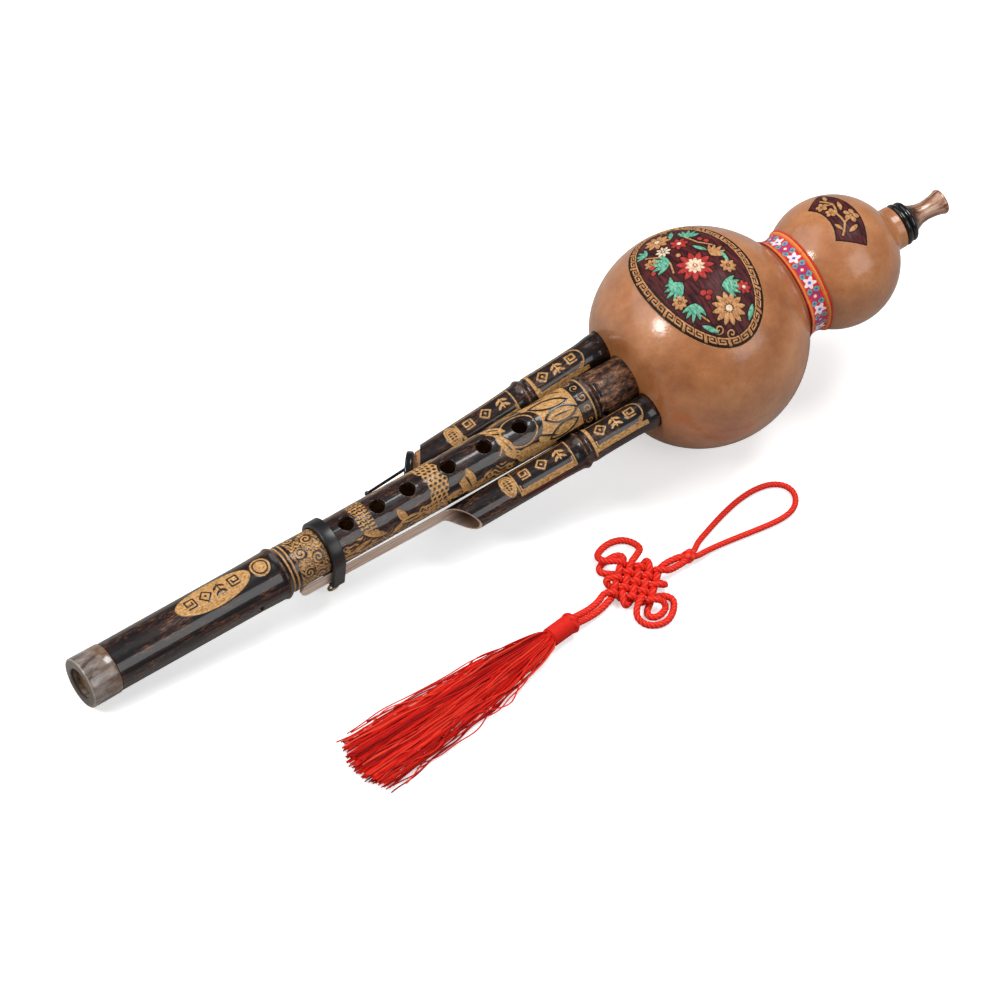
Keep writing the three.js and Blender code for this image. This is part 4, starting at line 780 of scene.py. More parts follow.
def pipe_figures(x, s):
    """The gold on the main pipe, above 0 where it is laid: x along the pipe, s round it toward the front, in
    mm. Also the smooth dark fields round the holes."""
    strips = np.maximum(between(x, 146, 161), between(x, 182, 200))
    fields = several(oval, x, s, [(hole_x - 1.2, 1.4, 8.2, 7.4) for hole_x in FINGER_HOLE_XS])
    fields = np.maximum(fields, np.minimum(3.6 - np.abs(s - 1.0), strips))
    by_holes = (x > CARVED_FROM_X) & (x < CARVED_TO_X)
    carved = front_gold(x, s)
    carved = np.where(by_holes, np.minimum(carved, -fields), carved)
    clear = np.minimum.reduce([np.hypot(x - hole_x, s) - 4.6 for hole_x in FINGER_HOLE_XS])
    curls = several(scroll, x, s, [
        (246.6 + 0.5 * math.sin(k), k * 5.4 - 3.0, 1.9, 1.5, 1 if k % 2 else -1, 0.2, 0.26)
        for k in range(-2, 5)])
    tick = stroke(x, s, [(243.8, 16), (248, 19), (252, 17)], 0.3)
    crest = np.maximum.reduce([curls, 0.32 - np.abs(x - 249.6), tick])
    gold = np.maximum.reduce([
        label_gold(x, s), np.minimum(knot_band_gold(x, s), between(x, 103.0, 117.0)), carved,
        np.minimum(gold_over_fields(x, s), clear), np.minimum(0.32 - np.abs(fields), between(x, 203, 224)),
        crest])
    return np.minimum(gold, 26.5 - np.abs(s)), fields


def stained_bamboo(name):
    """Blackened, varnished bamboo: near black with reddish-brown fibre streaks; gold paint where the gold
    layer is above 0, and worn pinkish-brown bark where the bark layer is. Paint and bark are rougher, under
    less varnish. The bore, marked high in the bark layer, is plain brown."""
    material, tree, shader = finish(name, Specular_IOR_Level=0.22, Coat_Roughness=0.05)
    fibre = pattern(tree, 0.75, (0.05, 1, 1), 5, 0.7)
    blacks = [(0.42, "#0b080c"), (0.52, "#140e11"), (0.6, "#251512"), (0.71, "#43261b")]
    colour = node(tree, "ShaderNodeValToRGB", {"stops": blacks}, {"Fac": fibre}).outputs["Color"]
    flecks = node(tree, "ShaderNodeMapRange", {"From Min": 0.5, "From Max": 0.6},
                  {"Value": pattern(tree, 2.0, (0.16, 1, 1), 4, 0.7)}).outputs[0]
    clouds = node(tree, "ShaderNodeMapRange", {"From Min": 0.47, "From Max": 0.62},
                  {"Value": pattern(tree, 0.16, (0.4, 1, 1), 3, 0.6)}).outputs[0]
    both = node(tree, "ShaderNodeMath", {"operation": "MULTIPLY"}, {0: flecks, 1: clouds})
    colour = node(tree, "ShaderNodeMix", {"data_type": "RGBA"},
                  {0: both.outputs[0], 6: colour, 7: "#6e4630"}).outputs[2]
    bark_grain = pattern(tree, 0.45, (0.45, 1, 1), 6, 0.8)
    barks = [(0.38, "#150d0c"), (0.46, "#3b271f"), (0.55, "#7a543d"), (0.68, "#b48c66")]
    bark = node(tree, "ShaderNodeValToRGB", {"stops": barks}, {"Fac": bark_grain}).outputs["Color"]
    bare = painted(tree, "bark", -0.4, 0.5)
    colour = node(tree, "ShaderNodeMix", {"data_type": "RGBA"}, {0: bare, 6: colour, 7: bark}).outputs[2]
    in_bore = painted(tree, "bark", BORE_MARK - 6, BORE_MARK - 2)
    colour = node(tree, "ShaderNodeMix", {"data_type": "RGBA"},
                  {0: in_bore, 6: colour, 7: "#8f6a42"}).outputs[2]
    golds = [(0.38, "#80592f"), (0.48, "#b3864f"), (0.6, "#cda06a"), (0.7, "#e0bb8a")]
    gold_wear = pattern(tree, 1.5, (0.5, 1, 1), 5, 0.75)
    gilt = node(tree, "ShaderNodeValToRGB", {"stops": golds}, {"Fac": gold_wear}).outputs["Color"]
    gold = painted(tree, "gold", -0.1, 0.1)
    colour = node(tree, "ShaderNodeMix", {"data_type": "RGBA"}, {0: gold, 6: colour, 7: gilt}).outputs[2]
    tree.links.new(colour, shader.inputs["Base Color"])
    dry = node(tree, "ShaderNodeMath", {"operation": "MAXIMUM"}, {0: gold, 1: bare}).outputs[0]
    for socket, glossy, matt in (("Roughness", 0.34, 0.5), ("Coat Weight", 0.7, 0.15)):
        varnish = node(tree, "ShaderNodeMapRange", {"To Min": glossy, "To Max": matt}, {"Value": dry})
        tree.links.new(varnish.outputs[0], shader.inputs[socket])
    relief = node(tree, "ShaderNodeMath", {"operation": "MULTIPLY_ADD", 1: 0.35},
                  {0: fibre, 2: gold}).outputs[0]
    rind = node(tree, "ShaderNodeMath", {"operation": "MULTIPLY"}, {0: bark_grain, 1: bare}).outputs[0]
    height = node(tree, "ShaderNodeMath", {"operation": "MULTIPLY_ADD", 1: 3.0},
                  {0: rind, 2: relief}).outputs[0]
    raised = node(tree, "ShaderNodeBump", {"Strength": 1.0, "Distance": 0.1 * MM}, {"Height": height})
    tree.links.new(raised.outputs[0], shader.inputs["Normal"])
    coat_raised = node(tree, "ShaderNodeBump", {"Strength": 1.0, "Distance": 0.04 * MM}, {"Height": height})
    tree.links.new(coat_raised.outputs[0], shader.inputs["Coat Normal"])
    return material


def main_pipe():
    """A closed wall: the outside from the end spigot to the top, then the bore back, with rings every 0.42 mm
    where it shows."""
    xs = np.concatenate([np.arange(SPIGOT_X, 272.5, 0.42), np.linspace(274, PIPE_TOP_X, 8)])
    outside = np.stack([xs, pipe_radius(xs)], -1)
    bore = [[x, PIPE_BORE] for x in (PIPE_TOP_X, 290, 230, 150, 60, PIPE_LOW_X)]
    profile = [[PIPE_LOW_X, PIPE_BORE], [PIPE_LOW_X, SPIGOT_R], [SPIGOT_X, SPIGOT_R], *outside, *bore]
    return turned("main_pipe_carved", profile, stained_bamboo("blackened_carved_bamboo"), 168)


def hole_cutter(name, x, radius, low, high, across=False):
    """A round cutter at x from low to high along the instrument's z, or across it along y."""
    angle = round_angle(32 if across else 40)
    ends = np.array([[low], [high]]) + 0 * angle
    first, second = x + radius * np.cos(angle) + 0 * ends, radius * np.sin(angle) + 0 * ends
    return surface(name, laid(first, ends, second) if across else laid(first, second, ends), gourd_skin)


def pipe_coordinates(points):
    """From row metres back to the instrument's mm: x, the arc s from the top toward the front, the radius."""
    x, y, z = (points / MM - (-SET_BACK, 0, SET_UP)).T
    cos, sin = math.cos(TILT), math.sin(TILT)
    x, z = x * cos + z * sin, z * cos - x * sin
    return x, np.arctan2(-y, z) * PIPE_MEAN_R, np.hypot(y, z)


pipe = main_pipe()
cutters = [hole_cutter(f"finger_cut_{k}", x, FINGER_HOLE_R, 2, 14) for k, x in enumerate(FINGER_HOLE_XS)]
cutters += [hole_cutter(f"tone_cut_{k}", x, TONE_HOLE_R, -14, -2) for k, x in enumerate(TONE_HOLE_XS)]
cutters += [hole_cutter("thumb_cut", THUMB_HOLE_X, THUMB_HOLE_R, -14, -2)]
cutters += [hole_cutter("cord_cut", CORD_HOLE_X, CORD_HOLE_R, -14, 14, across=True)]
bored(pipe, cutters)
pipe_points = points_of(pipe)
x, s, radius = pipe_coordinates(pipe_points)
figures, fields = pipe_figures(x, s)
outside = radius > 9.4
figures = np.where(outside & (x > 20), figures, NO_GOLD)
bark_edge = BARK_X + 1.6 * np.sin(s * 0.45) + 1.1 * np.sin(s * 1.3 + 1)
from_node = np.minimum(np.abs(x - LOW_NODE_X), np.abs(x - HIGH_NODE_X))
worn = np.maximum(x - bark_edge, 0.2 - np.abs(from_node - 0.1))
paint(pipe, gold=figures, bark=np.where(outside, worn, BORE_MARK))
by_holes = (x > CARVED_FROM_X) & (x < CARVED_TO_X)
sunk = np.clip(figures / 0.3, 0, 1) * GOLD_DEPTH + np.clip(fields / 2.0, 0, 1) * FIELD_DEPTH * by_holes
carved_points = laid(x, -(radius - sunk) * np.sin(s / PIPE_MEAN_R), (radius - sunk) * np.cos(s / PIPE_MEAN_R))
carved_points = np.where(outside[:, None], carved_points, pipe_points)
pipe.data.vertices.foreach_set("co", carved_points.astype(np.float32).ravel())
pipe.data.update()
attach(pipe, "hulusi")
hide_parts("main_pipe")


# Horn ring on the pipe's open end.
# Turned from grey-brown horn, polished, paler at the rounded rim, glued on the pipe's end spigot.
END_RING_LENGTH, END_RING_SEAT_R = 14, 9.4


def grey_horn():
    """Grey-brown horn: streaked along the grain, glossy, paler at the thin rim and browner at the back."""
    material, tree, shader = finish("polished_grey_horn", Roughness=0.22, Coat_Weight=0.5,
                                    Coat_Roughness=0.07, Subsurface_Weight=0.1,
                                    Subsurface_Radius=(0.004, 0.003, 0.002))
    greys = [(0.36, "#4a3f3a"), (0.46, "#6e625b"), (0.56, "#867a72"), (0.7, "#978b83")]
    grain = pattern(tree, 0.28, (0.5, 1, 1), 5, 0.6)
    colour = node(tree, "ShaderNodeValToRGB", {"stops": greys}, {"Fac": grain}).outputs["Color"]
    cloudy = node(tree, "ShaderNodeMapRange", {"From Min": 0.35, "From Max": 0.6},
                  {"Value": pattern(tree, 0.3, (1, 1, 1), 3)}).outputs[0]
    brown = node(tree, "ShaderNodeMath", {"operation": "MULTIPLY"},
                 {0: painted(tree, "rear", -6.0, 0.0), 1: cloudy})
    colour = node(tree, "ShaderNodeMix", {"data_type": "RGBA"},
                  {0: brown.outputs[0], 6: colour, 7: "#6a4a30"}).outputs[2]
    colour = node(tree, "ShaderNodeMix", {"data_type": "RGBA"},
                  {0: painted(tree, "face", -0.1, 0.5), 6: colour, 7: "#43372f"}).outputs[2]
    colour = node(tree, "ShaderNodeMix", {"data_type": "RGBA"},
                  {0: painted(tree, "rim", -0.1, 0.3), 6: colour, 7: "#a3978d"}).outputs[2]
    tree.links.new(colour, shader.inputs["Base Color"])
    return material


round_rim = [[0, 7.6], [0, 10.2], [0.02, 10.6], [0.15, 11.0], [0.35, 11.2], [0.6, 11.35], [1.2, 11.34]]
slim_side = [[3, 11.32], [10, 11.24], [END_RING_LENGTH - 0.4, 11.17], [END_RING_LENGTH, 10.9]]
seat = [[END_RING_LENGTH, END_RING_SEAT_R], [3, END_RING_SEAT_R], [3, PIPE_BORE], [0.35, PIPE_BORE]]
ferrule = turned("end_ring_turned", [[0.35, PIPE_BORE], [0.05, 7.2], *round_rim, *slim_side, *seat],
                 grey_horn(), 128)
ferrule_x, _, ferrule_r = pipe_coordinates(points_of(ferrule))
paint(ferrule, rear=ferrule_x - 11.5, rim=0.35 - np.hypot(ferrule_x - 0.35, ferrule_r - 11.1),
      face=np.where(ferrule_x < 0.4, 10.6 - ferrule_r, -9))
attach(ferrule, "hulusi")
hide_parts("end_ferrule")


# Drone pipes.
# Two thinner bamboo pipes of the same finish, each with one node. The low end is cut away in a slant, and a
# long tongue of the wall runs on to the hoop. Gilt panels are carved above and below the node, each with a
# stripe along its lower edge, and a small hatched cap below them.
DRONE_R, DRONE_BORE, REED_BORE, MOUTH_SWELL, TONGUE_FACE = 7.0, 5.9, 4.6, 0.6, 5.6
DRONE_RUN = np.subtract(DRONE_HIGH, DRONE_LOW)
DRONE_STRETCH = np.linalg.norm(DRONE_RUN) / DRONE_RUN[0]
DRONE_TOP_X, TONGUE_END_X, HOOP_X, TONGUE_AWAY, TONGUE_TURN = 300, 103.5, 120.3, 7.35, 0.5
PANEL_HALF, STRIPE_AT, GILT_DEPTH = 6.2, 6.9, 0.18


def along_drone(x):
    """The drone's own t, in mm from its low end, at the instrument's x."""
    return (x - DRONE_LOW[0]) * DRONE_STRETCH


def drone_radius(t, node_t):
    """7 mm with the node's ridge, swell and scar, and 0.6 more at the gourd's mouth."""
    from_mouth = t - along_drone(GOURD_BASE_X) + 2
    return DRONE_R + MOUTH_SWELL * np.exp(-(from_mouth / 4) ** 2) + node_swell(t - node_t)


def drone_figures(x, s, node_x):
    """The gold on a drone, above 0 where it is laid: x along the pipe, s round it toward the front, in mm."""
    gold = np.full(np.shape(x), -9.0)
    for low, high, arched in ((node_x - 32.5, node_x - 5.0, False), (node_x + 4.8, node_x + 30.0, True)):
        within = between(x, low, high)
        arch = np.maximum(x - high + PANEL_HALF, 0) * arched
        inside = np.minimum(PANEL_HALF - np.hypot(arch, s - 0.4), within)
        inner_line = np.minimum(0.26 - np.abs(inside - 1.25), np.where(s < 3, NO_GOLD, -NO_GOLD))
        stripe = np.minimum(1.05 - np.abs(s - STRIPE_AT), within)
        gold = np.maximum.reduce([gold, 0.3 - np.abs(inside - 0.35), inner_line, stripe])
        for k, place in enumerate(np.linspace(low + 5.4, high - 5.4, 3)):
            figure = (fret(x, s, place, -0.4, 1.9, -1 if arched else 1), lozenge(x, s, place, -0.4, 2.6),
                      sprig(x, s, place, -0.4, 2.5))[(k + arched) % 3]
            gold = np.maximum(gold, figure)
    cap_x = node_x - 35.6
    cap = oval(x, s, cap_x, 0.3, 3.1, 6.0)
    hatch = np.maximum(0.26 - np.abs((s / 1.3) % 1 - 0.5) * 1.3, 0.26 - np.abs(x - cap_x))
    gold = np.maximum.reduce([
        gold, 0.36 - np.abs(cap - 0.4), 0.28 - np.abs(cap - 1.25), np.minimum(hatch, cap - 1.5),
        0.4 - np.abs(x - node_x - 4.4)])
    return np.where(np.abs(s) < 10.5, gold, NO_GOLD)


def drone_outline_cut(sign):
    """What is cut away beside the tongue on one side of it, as a closed prism in the drone's own mm."""
    half = math.sqrt(DRONE_R ** 2 - TONGUE_FACE ** 2) + 0.3
    end_t = along_drone(TONGUE_END_X)
    tip = [(end_t + half - half * math.cos(a), half * math.sin(a)) for a in np.linspace(0, np.pi / 2, 9)]
    return [(end_t - 4, sign * 0.0001), *[(t, sign * u) for t, u in tip], (-10.0, sign * half),
            (-10.0, sign * 12), (end_t - 4, sign * 12)]


def prism(name, outline, low, high, axis, place):
    """A closed prism over an outline of (t, second) points, from low to high along the third axis."""
    t, second = np.array([outline, outline], float).transpose(2, 0, 1)
    third = np.array([[low], [high]]) + 0 * t
    return surface(name, place(t, second, third) if axis == "up" else place(t, third, second), gourd_skin)


def bend_tongue(t, h, u, side):
    """Below the drone's end the tongue eases outward and down to its place in the hoop: by d^2 / 40 at d mm
    below the end, and d - 10 past 20 mm, times the spread that brings it there."""
    below = np.maximum(-t, 0)
    ease = np.where(below < 20, below ** 2 / 40, below - 10)
    at_hoop = -along_drone(HOOP_X) - 10
    reach = pipe_radius(HOOP_X) + TONGUE_AWAY
    _, straight_y, straight_z = DRONE_LOW + DRONE_RUN * (HOOP_X - DRONE_LOW[0]) / DRONE_RUN[0]
    spread = (reach * math.cos(TONGUE_TURN) - straight_y) / at_hoop
    lift = (-reach * math.sin(TONGUE_TURN) - straight_z) / at_hoop
    return t, h + side * spread * ease, u + lift * ease


def drone(name, side, node_x):
    """A tube cut back to its slanted end and its tongue, then carved, bent and painted. Faces that look
    across the tube or lie in its bore are bare wood, and a painted layer darkens the bore with its depth:
    painted shade."""
    node_t, end_t, top_t = (along_drone(x) for x in (node_x, TONGUE_END_X, DRONE_TOP_X))
    straight = lambda t, h, u: np.stack(np.broadcast_arrays(t, h, u), -1) * MM
    ts = np.concatenate([np.arange(end_t, -6, 1.2), np.arange(-6, 97, 0.5), [100, 112, top_t]])
    outside = np.stack([ts, drone_radius(ts, node_t)], -1)
    profile = [*outside, [top_t, REED_BORE], [85, REED_BORE], [85, DRONE_BORE], [20, DRONE_BORE],
               *[[t, DRONE_BORE] for t in np.linspace(12, end_t, 40)], outside[0]]
    tube = turned(name, profile, bamboo, 96, straight)
    inward = -side
    slant = [(-5 + 16.5 * a / np.pi, inward * (-10 + 15.6 * (1 + math.cos(a)) / 2))
             for a in np.linspace(0, np.pi, 24)]
    quill = [(end_t - 3, -inward * 10.0), (end_t - 3, inward * TONGUE_FACE), *slant]
    bored(tube, [prism(f"{name}_slant_cut", quill, -12, 12, "up", straight),
                 prism(f"{name}_side_cut", drone_outline_cut(1), -12, 12, "side", straight),
                 prism(f"{name}_other_cut", drone_outline_cut(-1), -12, 12, "side", straight)])
    t, h, u = points_of(tube).T / MM
    radius = np.hypot(h, u)
    s = np.arctan2(-h, u) * DRONE_R
    x = DRONE_LOW[0] + t / DRONE_STRETCH
    skin = radius > 6.55
    figures = np.where(skin & (t > 0), drone_figures(x, s, node_x), NO_GOLD)
    sunk = np.clip(figures / 0.3, 0, 1) * GILT_DEPTH * skin
    faces = tube.data.polygons
    middle, facing = np.empty(3 * len(faces), np.float32), np.empty(3 * len(faces), np.float32)
    faces.foreach_get("center", middle)
    faces.foreach_get("normal", facing)
    middle, facing = middle.reshape(-1, 3)[:, 1:] / MM, facing.reshape(-1, 3)[:, 1:]
    reach = np.hypot(*middle.T)
    bare = ((middle * facing).sum(1) < 0.7 * reach) | (reach < 6.2)
    tube.data.materials.append(scraped_wood)
    faces.foreach_set("material_index", bare.astype(np.int32))
    scale = (radius - sunk) / radius
    placed = drone_place(side)(*bend_tongue(t, h * scale, u * scale, side))
    tube.data.vertices.foreach_set("co", placed.astype(np.float32).ravel())
    tube.data.update()
    # The last layer is painted shade: the bore gets darker the deeper it goes.
    paint(tube, gold=figures, bark=0.2 - np.abs(np.abs(x - node_x) - 0.1),
          hollow=(radius < 6.0) * np.clip((x - 174.5) / 8, 0, 1))
    tube.data.set_sharp_from_angle(angle=math.radians(40))
    return tube


def bare_wood():
    """Bare bamboo, matt and beige with a fine straight grain: the cut faces and the bore, which is
    painted darker deeper in, as painted shade.
    """
    material, tree, shader = finish("scraped_bare_bamboo", Roughness=0.6)
    beiges = [(0.35, "#bd9f8b"), (0.52, "#dcc6b5"), (0.7, "#ebdccf")]
    grain = pattern(tree, 0.9, (0.05, 1, 1), 4, 0.6)
    wood = node(tree, "ShaderNodeValToRGB", {"stops": beiges}, {"Fac": grain}).outputs["Color"]
    # Painted shade: the bore turns a darker brown with its depth.
    wood = node(tree, "ShaderNodeMix", {"data_type": "RGBA"},
                {0: painted(tree, "hollow", 0.1, 1.0), 6: wood, 7: "#6f523f"}).outputs[2]
    tree.links.new(wood, shader.inputs["Base Color"])
    return material


bamboo, scraped_wood = stained_bamboo("blackened_gilt_bamboo"), bare_wood()
near_drone = drone("near_drone_carved", -1, 236.9)
far_drone = drone("far_drone_carved", 1, 231.6)
for obj, covered in ((near_drone, "near_drone"), (far_drone, "far_drone")):
    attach(obj, "hulusi")
    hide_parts(covered)


# Hoop and its screw eye.
# A moulded band of satin black plastic, round over the pipe and square below, holds both tongues to it. The
# eye for the tassel is bronze wire, screwed up into its underside.
HOOP_HALF_WIDTH, HOOP_IN, HOOP_OUT, HOOP_EDGE, HOOP_GAP, FOOT_CORNER = 2.9, 0.1, 1.9, 0.45, 0.3, 0.9
EYE_R, EYE_WIRE_R, SHANK_R, EYE_Y = 2.5, 0.6, 0.72, -8.5


def satin_black():
    """Satin black plastic: near black with a broad soft reflection."""
    material, tree, shader = finish("satin_black_plastic", Base_Color=linear("#141316"), Roughness=0.34)
    raised = node(tree, "ShaderNodeBump", {"Strength": 1.0, "Distance": 0.02 * MM},
                  {"Height": pattern(tree, 2.0, (1, 1, 1), 2)})
    tree.links.new(raised.outputs[0], shader.inputs["Normal"])
    return material


def hoop_outline(grow):
    """The hoop's outline in its own plane, as many points for each size: a half circle over the pipe, and a
    flat foot with round corners under the tongues."""
    pipe_here = pipe_radius(HOOP_X)
    half = pipe_here + HOOP_GAP + grow
    tongue_low = (pipe_here + TONGUE_AWAY) * math.sin(TONGUE_TURN)
    low = -(tongue_low + math.sqrt(DRONE_R ** 2 - TONGUE_FACE ** 2) + HOOP_GAP + grow)
    corner = FOOT_CORNER + 0.47 * grow
    over_pipe = arc(0, 0, half, 0, math.pi, 49)
    left = arc(-half + corner, low + corner, corner, math.pi, 1.5 * math.pi, 9)
    right = arc(half - corner, low + corner, corner, 1.5 * math.pi, 2 * math.pi, 9)
    return np.concatenate([over_pipe, left, right]), low


def tongue_hoop():
    """The outlines of the inner face, the edges and the outer face, joined round into a closed band."""
    flat = HOOP_OUT - HOOP_EDGE
    edge = [(HOOP_HALF_WIDTH, flat)]
    edge += [(HOOP_HALF_WIDTH - HOOP_EDGE * (1 - math.cos(a)), flat + HOOP_EDGE * math.sin(a))
             for a in (0.5, 1.05, 1.57)]
    sections = [(-HOOP_HALF_WIDTH, HOOP_IN), *[(-dx, grow) for dx, grow in edge], *edge[::-1],
                (HOOP_HALF_WIDTH, HOOP_IN), (-HOOP_HALF_WIDTH, HOOP_IN)]
    rings = [hoop_outline(grow)[0] for _, grow in sections]
    grid = np.stack([laid(HOOP_X + dx, -ring[:, 0], ring[:, 1]) for (dx, _), ring in zip(sections, rings)])
    return surface("tongue_hoop_moulded", grid, satin_black(), crease=50)


hoop = tongue_hoop()
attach(hoop, "hulusi")
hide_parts("tongue_hoop")


def sweep(name, path, radius, material, sides=16):
    """A round bar along points in metres, of one radius or one for each point and side, in metres."""
    along = np.gradient(path, axis=0)
    along /= np.linalg.norm(along, axis=1)[:, None]
    flat = np.where(np.abs(along[:, 2:3]) > 0.95, [[0.0, 1.0, 0.0]], [[0.0, 0.0, 1.0]])
    side = np.cross(flat, along)
    side /= np.linalg.norm(side, axis=1)[:, None]
    top = np.cross(along, side)
    angle = round_angle(sides)
    size = np.broadcast_to(radius, (len(path), sides))[..., None]
    ring = side[:, None] * np.cos(angle)[:, None] + top[:, None] * np.sin(angle)[:, None]
    grid = path[:, None] + size * ring
    return surface(name, grid, material)


# Worn bronze wire: a warm dull metal with soft reflections.
bronze, _, _ = finish("worn_bronze_wire", Base_Color=linear("#a98f62"), Metallic=1.0, Roughness=0.28)
eye_top = hoop_outline(HOOP_OUT)[1] + 0.65
eye_turn = np.linspace(0.5 * np.pi, 2.42 * np.pi, 64)
eye_ring = laid(HOOP_X + EYE_R * np.cos(eye_turn), EYE_Y, eye_top - 5.1 + EYE_R * np.sin(eye_turn))
eye = sweep("hanger_eye_wire", eye_ring, EYE_WIRE_R * MM, bronze)
shank_zs = eye_top - np.array([3.0, 2.9, 1.5, 0])
shank = sweep("hanger_eye_shank", laid(HOOP_X, EYE_Y, shank_zs), SHANK_R * MM, bronze)
for obj in (eye, shank):
    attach(obj, "hulusi")
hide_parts("hanger_eye")


# Stopper of the far drone.
# A cork in the bore with a head of black plastic that lies along the slanted end. It is pulled out by a thin
# rod with a knob.
SLANT, HEAD_T, HEAD_R, HEAD_HALF, HEAD_EDGE = 0.72, -4.2, 8.7, 1.5, 0.75
CORK_R, CORK_TOP_T, CORK_GAP, STEM_R = 5.6, 12.5, 0.3, 2.4
ROD_H, ROD_U, ROD_R, ROD_LENGTH, KNOB_R = -1.1, 7.0, 0.65, 20.6, 1.1


def slanted(x, y, z):
    """From the stopper head's own mm, x square to the head, to the row frame."""
    cos, sin = math.cos(SLANT), math.sin(SLANT)
    return drone_place(1)(HEAD_T + x * cos + y * sin, y * cos - x * sin, z)


def tongue_flat(name):
    """The cutter of the flat that passes the tongue."""
    corners = [(-40, -30), (40, -30), (40, -5.0), (-40, -5.0)]
    return prism(name, corners, -20, 20, "up", drone_place(1))


def bark_cork():
    """Natural cork: matt, warm tan, mottled and pitted with brown."""
    material, tree, shader = finish("stopper_cork_bark", Roughness=0.85)
    tans = [(0.35, "#7c5236"), (0.5, "#b07f59"), (0.7, "#c4936c")]
    mottle = pattern(tree, 0.9, (1, 1, 1), 4, 0.7)
    colour = node(tree, "ShaderNodeValToRGB", {"stops": tans}, {"Fac": mottle}).outputs["Color"]
    tree.links.new(colour, shader.inputs["Base Color"])
    raised = node(tree, "ShaderNodeBump", {"Strength": 1.0, "Distance": 0.15 * MM},
                  {"Height": pattern(tree, 1.4, (1, 1, 1), 3)})
    tree.links.new(raised.outputs[0], shader.inputs["Normal"])
    return material


in_drone = drone_place(1)
cork_material = bark_cork()
cork_profile = [[-24, 0], [-24, CORK_R], [CORK_TOP_T - 0.3, CORK_R], [CORK_TOP_T, CORK_R - 0.3],
                [CORK_TOP_T, 0]]
cork = turned("stopper_cork_cut", cork_profile, cork_material, 64, in_drone)
past_head = [[-40, 0], [-40, 30], [HEAD_HALF + CORK_GAP, 30], [HEAD_HALF + CORK_GAP, 0]]
past_stem = [[-30, 0], [-30, STEM_R + CORK_GAP], [3.1, STEM_R + CORK_GAP], [3.1, 0]]
bored(cork, [turned("head_cut", past_head, cork_material, 32, slanted), tongue_flat("cork_flat"),
             turned("stem_cut", past_stem, cork_material, 32, in_drone)])

edge_turn = np.linspace(0, np.pi / 2, 6)
rim = np.stack([HEAD_EDGE * (1 - np.cos(edge_turn)) - HEAD_HALF,
                HEAD_R - HEAD_EDGE * (1 - np.sin(edge_turn))], -1)
head_profile = [[-HEAD_HALF, 0], [-HEAD_HALF, 3], *rim, *(rim[::-1] * [-1, 1]), [HEAD_HALF, 3],
                [HEAD_HALF, 0]]
stopper_head = turned("stopper_head_moulded", head_profile, black_plastic, 96, slanted)
bored(stopper_head, [tongue_flat("head_flat")])
stem_profile = [[-3, 0], [-3, STEM_R], [2.8, STEM_R], [2.8, 0]]
stopper_stem = turned("stopper_stem", stem_profile, black_plastic, 32, in_drone)
seat_t = HEAD_T + ROD_H * math.tan(SLANT) - 0.3
rod_t = np.linspace(seat_t, seat_t - ROD_LENGTH, 12)
pull_rod = sweep("stopper_rod_drawn", in_drone(rod_t, ROD_H, ROD_U), ROD_R * MM, black_plastic, 20)
knob_turn = np.linspace(0, np.pi, 14)
knob_profile = np.stack([rod_t[-1] + KNOB_R * np.cos(knob_turn), KNOB_R * np.sin(knob_turn)], -1)
on_rod = lambda t, h, u: in_drone(t, h + ROD_H, u + ROD_U)
knob = turned("stopper_rod_knob", knob_profile, black_plastic, 24, on_rod)
for obj in (cork, stopper_head, stopper_stem, pull_rod, knob):
    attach(obj, "stopper")
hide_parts("stopper_cork")
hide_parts("stopper_head")
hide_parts("stopper_rod")


# Reeds, plugs and wax inside the gourd.
# Brass plates and tongues hammered from sheet, wax plugs in the pipes' ends, and wax run round the pipes.
def inner_finish(name, size, dark, light, **values):
    """One of the inner finishes, clouded from dark to light by a noise: hammered brass is a bright yellow
    metal with soft reflections, dark beeswax is dull and lets a little light in."""
    material, tree, shader = finish(name, **values)
    clouds = pattern(tree, size, (1, 1, 1), 3)
    colour = node(tree, "ShaderNodeValToRGB", {"stops": [(0.3, dark), (0.7, light)]}, {"Fac": clouds})
    tree.links.new(colour.outputs["Color"], shader.inputs["Base Color"])
    return material


brass = inner_finish("hammered_brass_sheet", 0.6, "#9c7a3a", "#c9a35c", Metallic=1.0, Roughness=0.3)
wax = inner_finish("dark_beeswax", 0.3, "#5e4322", "#8a6733", Roughness=0.5, Subsurface_Weight=0.2)
for inner, material in (("main_reed_plate", brass), ("main_reed_tongue", brass), ("drone_reed_plate", brass),
                        ("drone_reed_tongue", brass), ("main_pipe_plug", wax), ("near_drone_plug", wax),
                        ("far_drone_plug", wax), ("pipe_seal", wax)):
    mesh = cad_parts[inner].data
    mesh.materials.clear()
    mesh.materials.append(material)


# Tassel.
# One red silk cord, doubled: it makes the hanging loop, is tied as a button knot and a flat endless knot with
# ears, and both ends run into the corded head that binds the skirt of loose strands.
LOOP_CORD_R, KNOT_CORD_R, ROUNDING_PASSES = 1.3, 1.5, 12
BUTTON_R, BUTTON_HALF, TASSEL_HEAD_LENGTH, BINDING_STEP = 2.9, 3.3, 14, 0.62
SKIRT_AT, BUNDLE_R, BUNDLE_Z, STRAND_LENGTH, SKIRT_HALF, PILE = (-29.3, -73.6), 3.4, 4.6, 105.5, 17.6, 4.0
THREAD_R = 0.31


def red_silk(name, rough=0.55):
    """Red silk: bright, with a soft sheen, coloured from deep red to pale red by a painted layer. On the
    cords, knots and head that layer is painted highlight on the bulges and painted shade, deeper red, in the
    grooves and folds; on the skirt it is each thread's own tone.
    """
    material, tree, shader = finish(name, Roughness=rough, Specular_IOR_Level=0.18)
    reds = [(0.0, "#860704"), (0.35, "#c4130b"), (0.75, "#dc2417"), (1.0, "#ee4a34")]
    tone = node(tree, "ShaderNodeAttribute", {"attribute_name": "tone"}).outputs["Fac"]
    colour = node(tree, "ShaderNodeValToRGB", {"stops": reds}, {"Fac": tone}).outputs["Color"]
    tree.links.new(colour, shader.inputs["Base Color"])
    return material


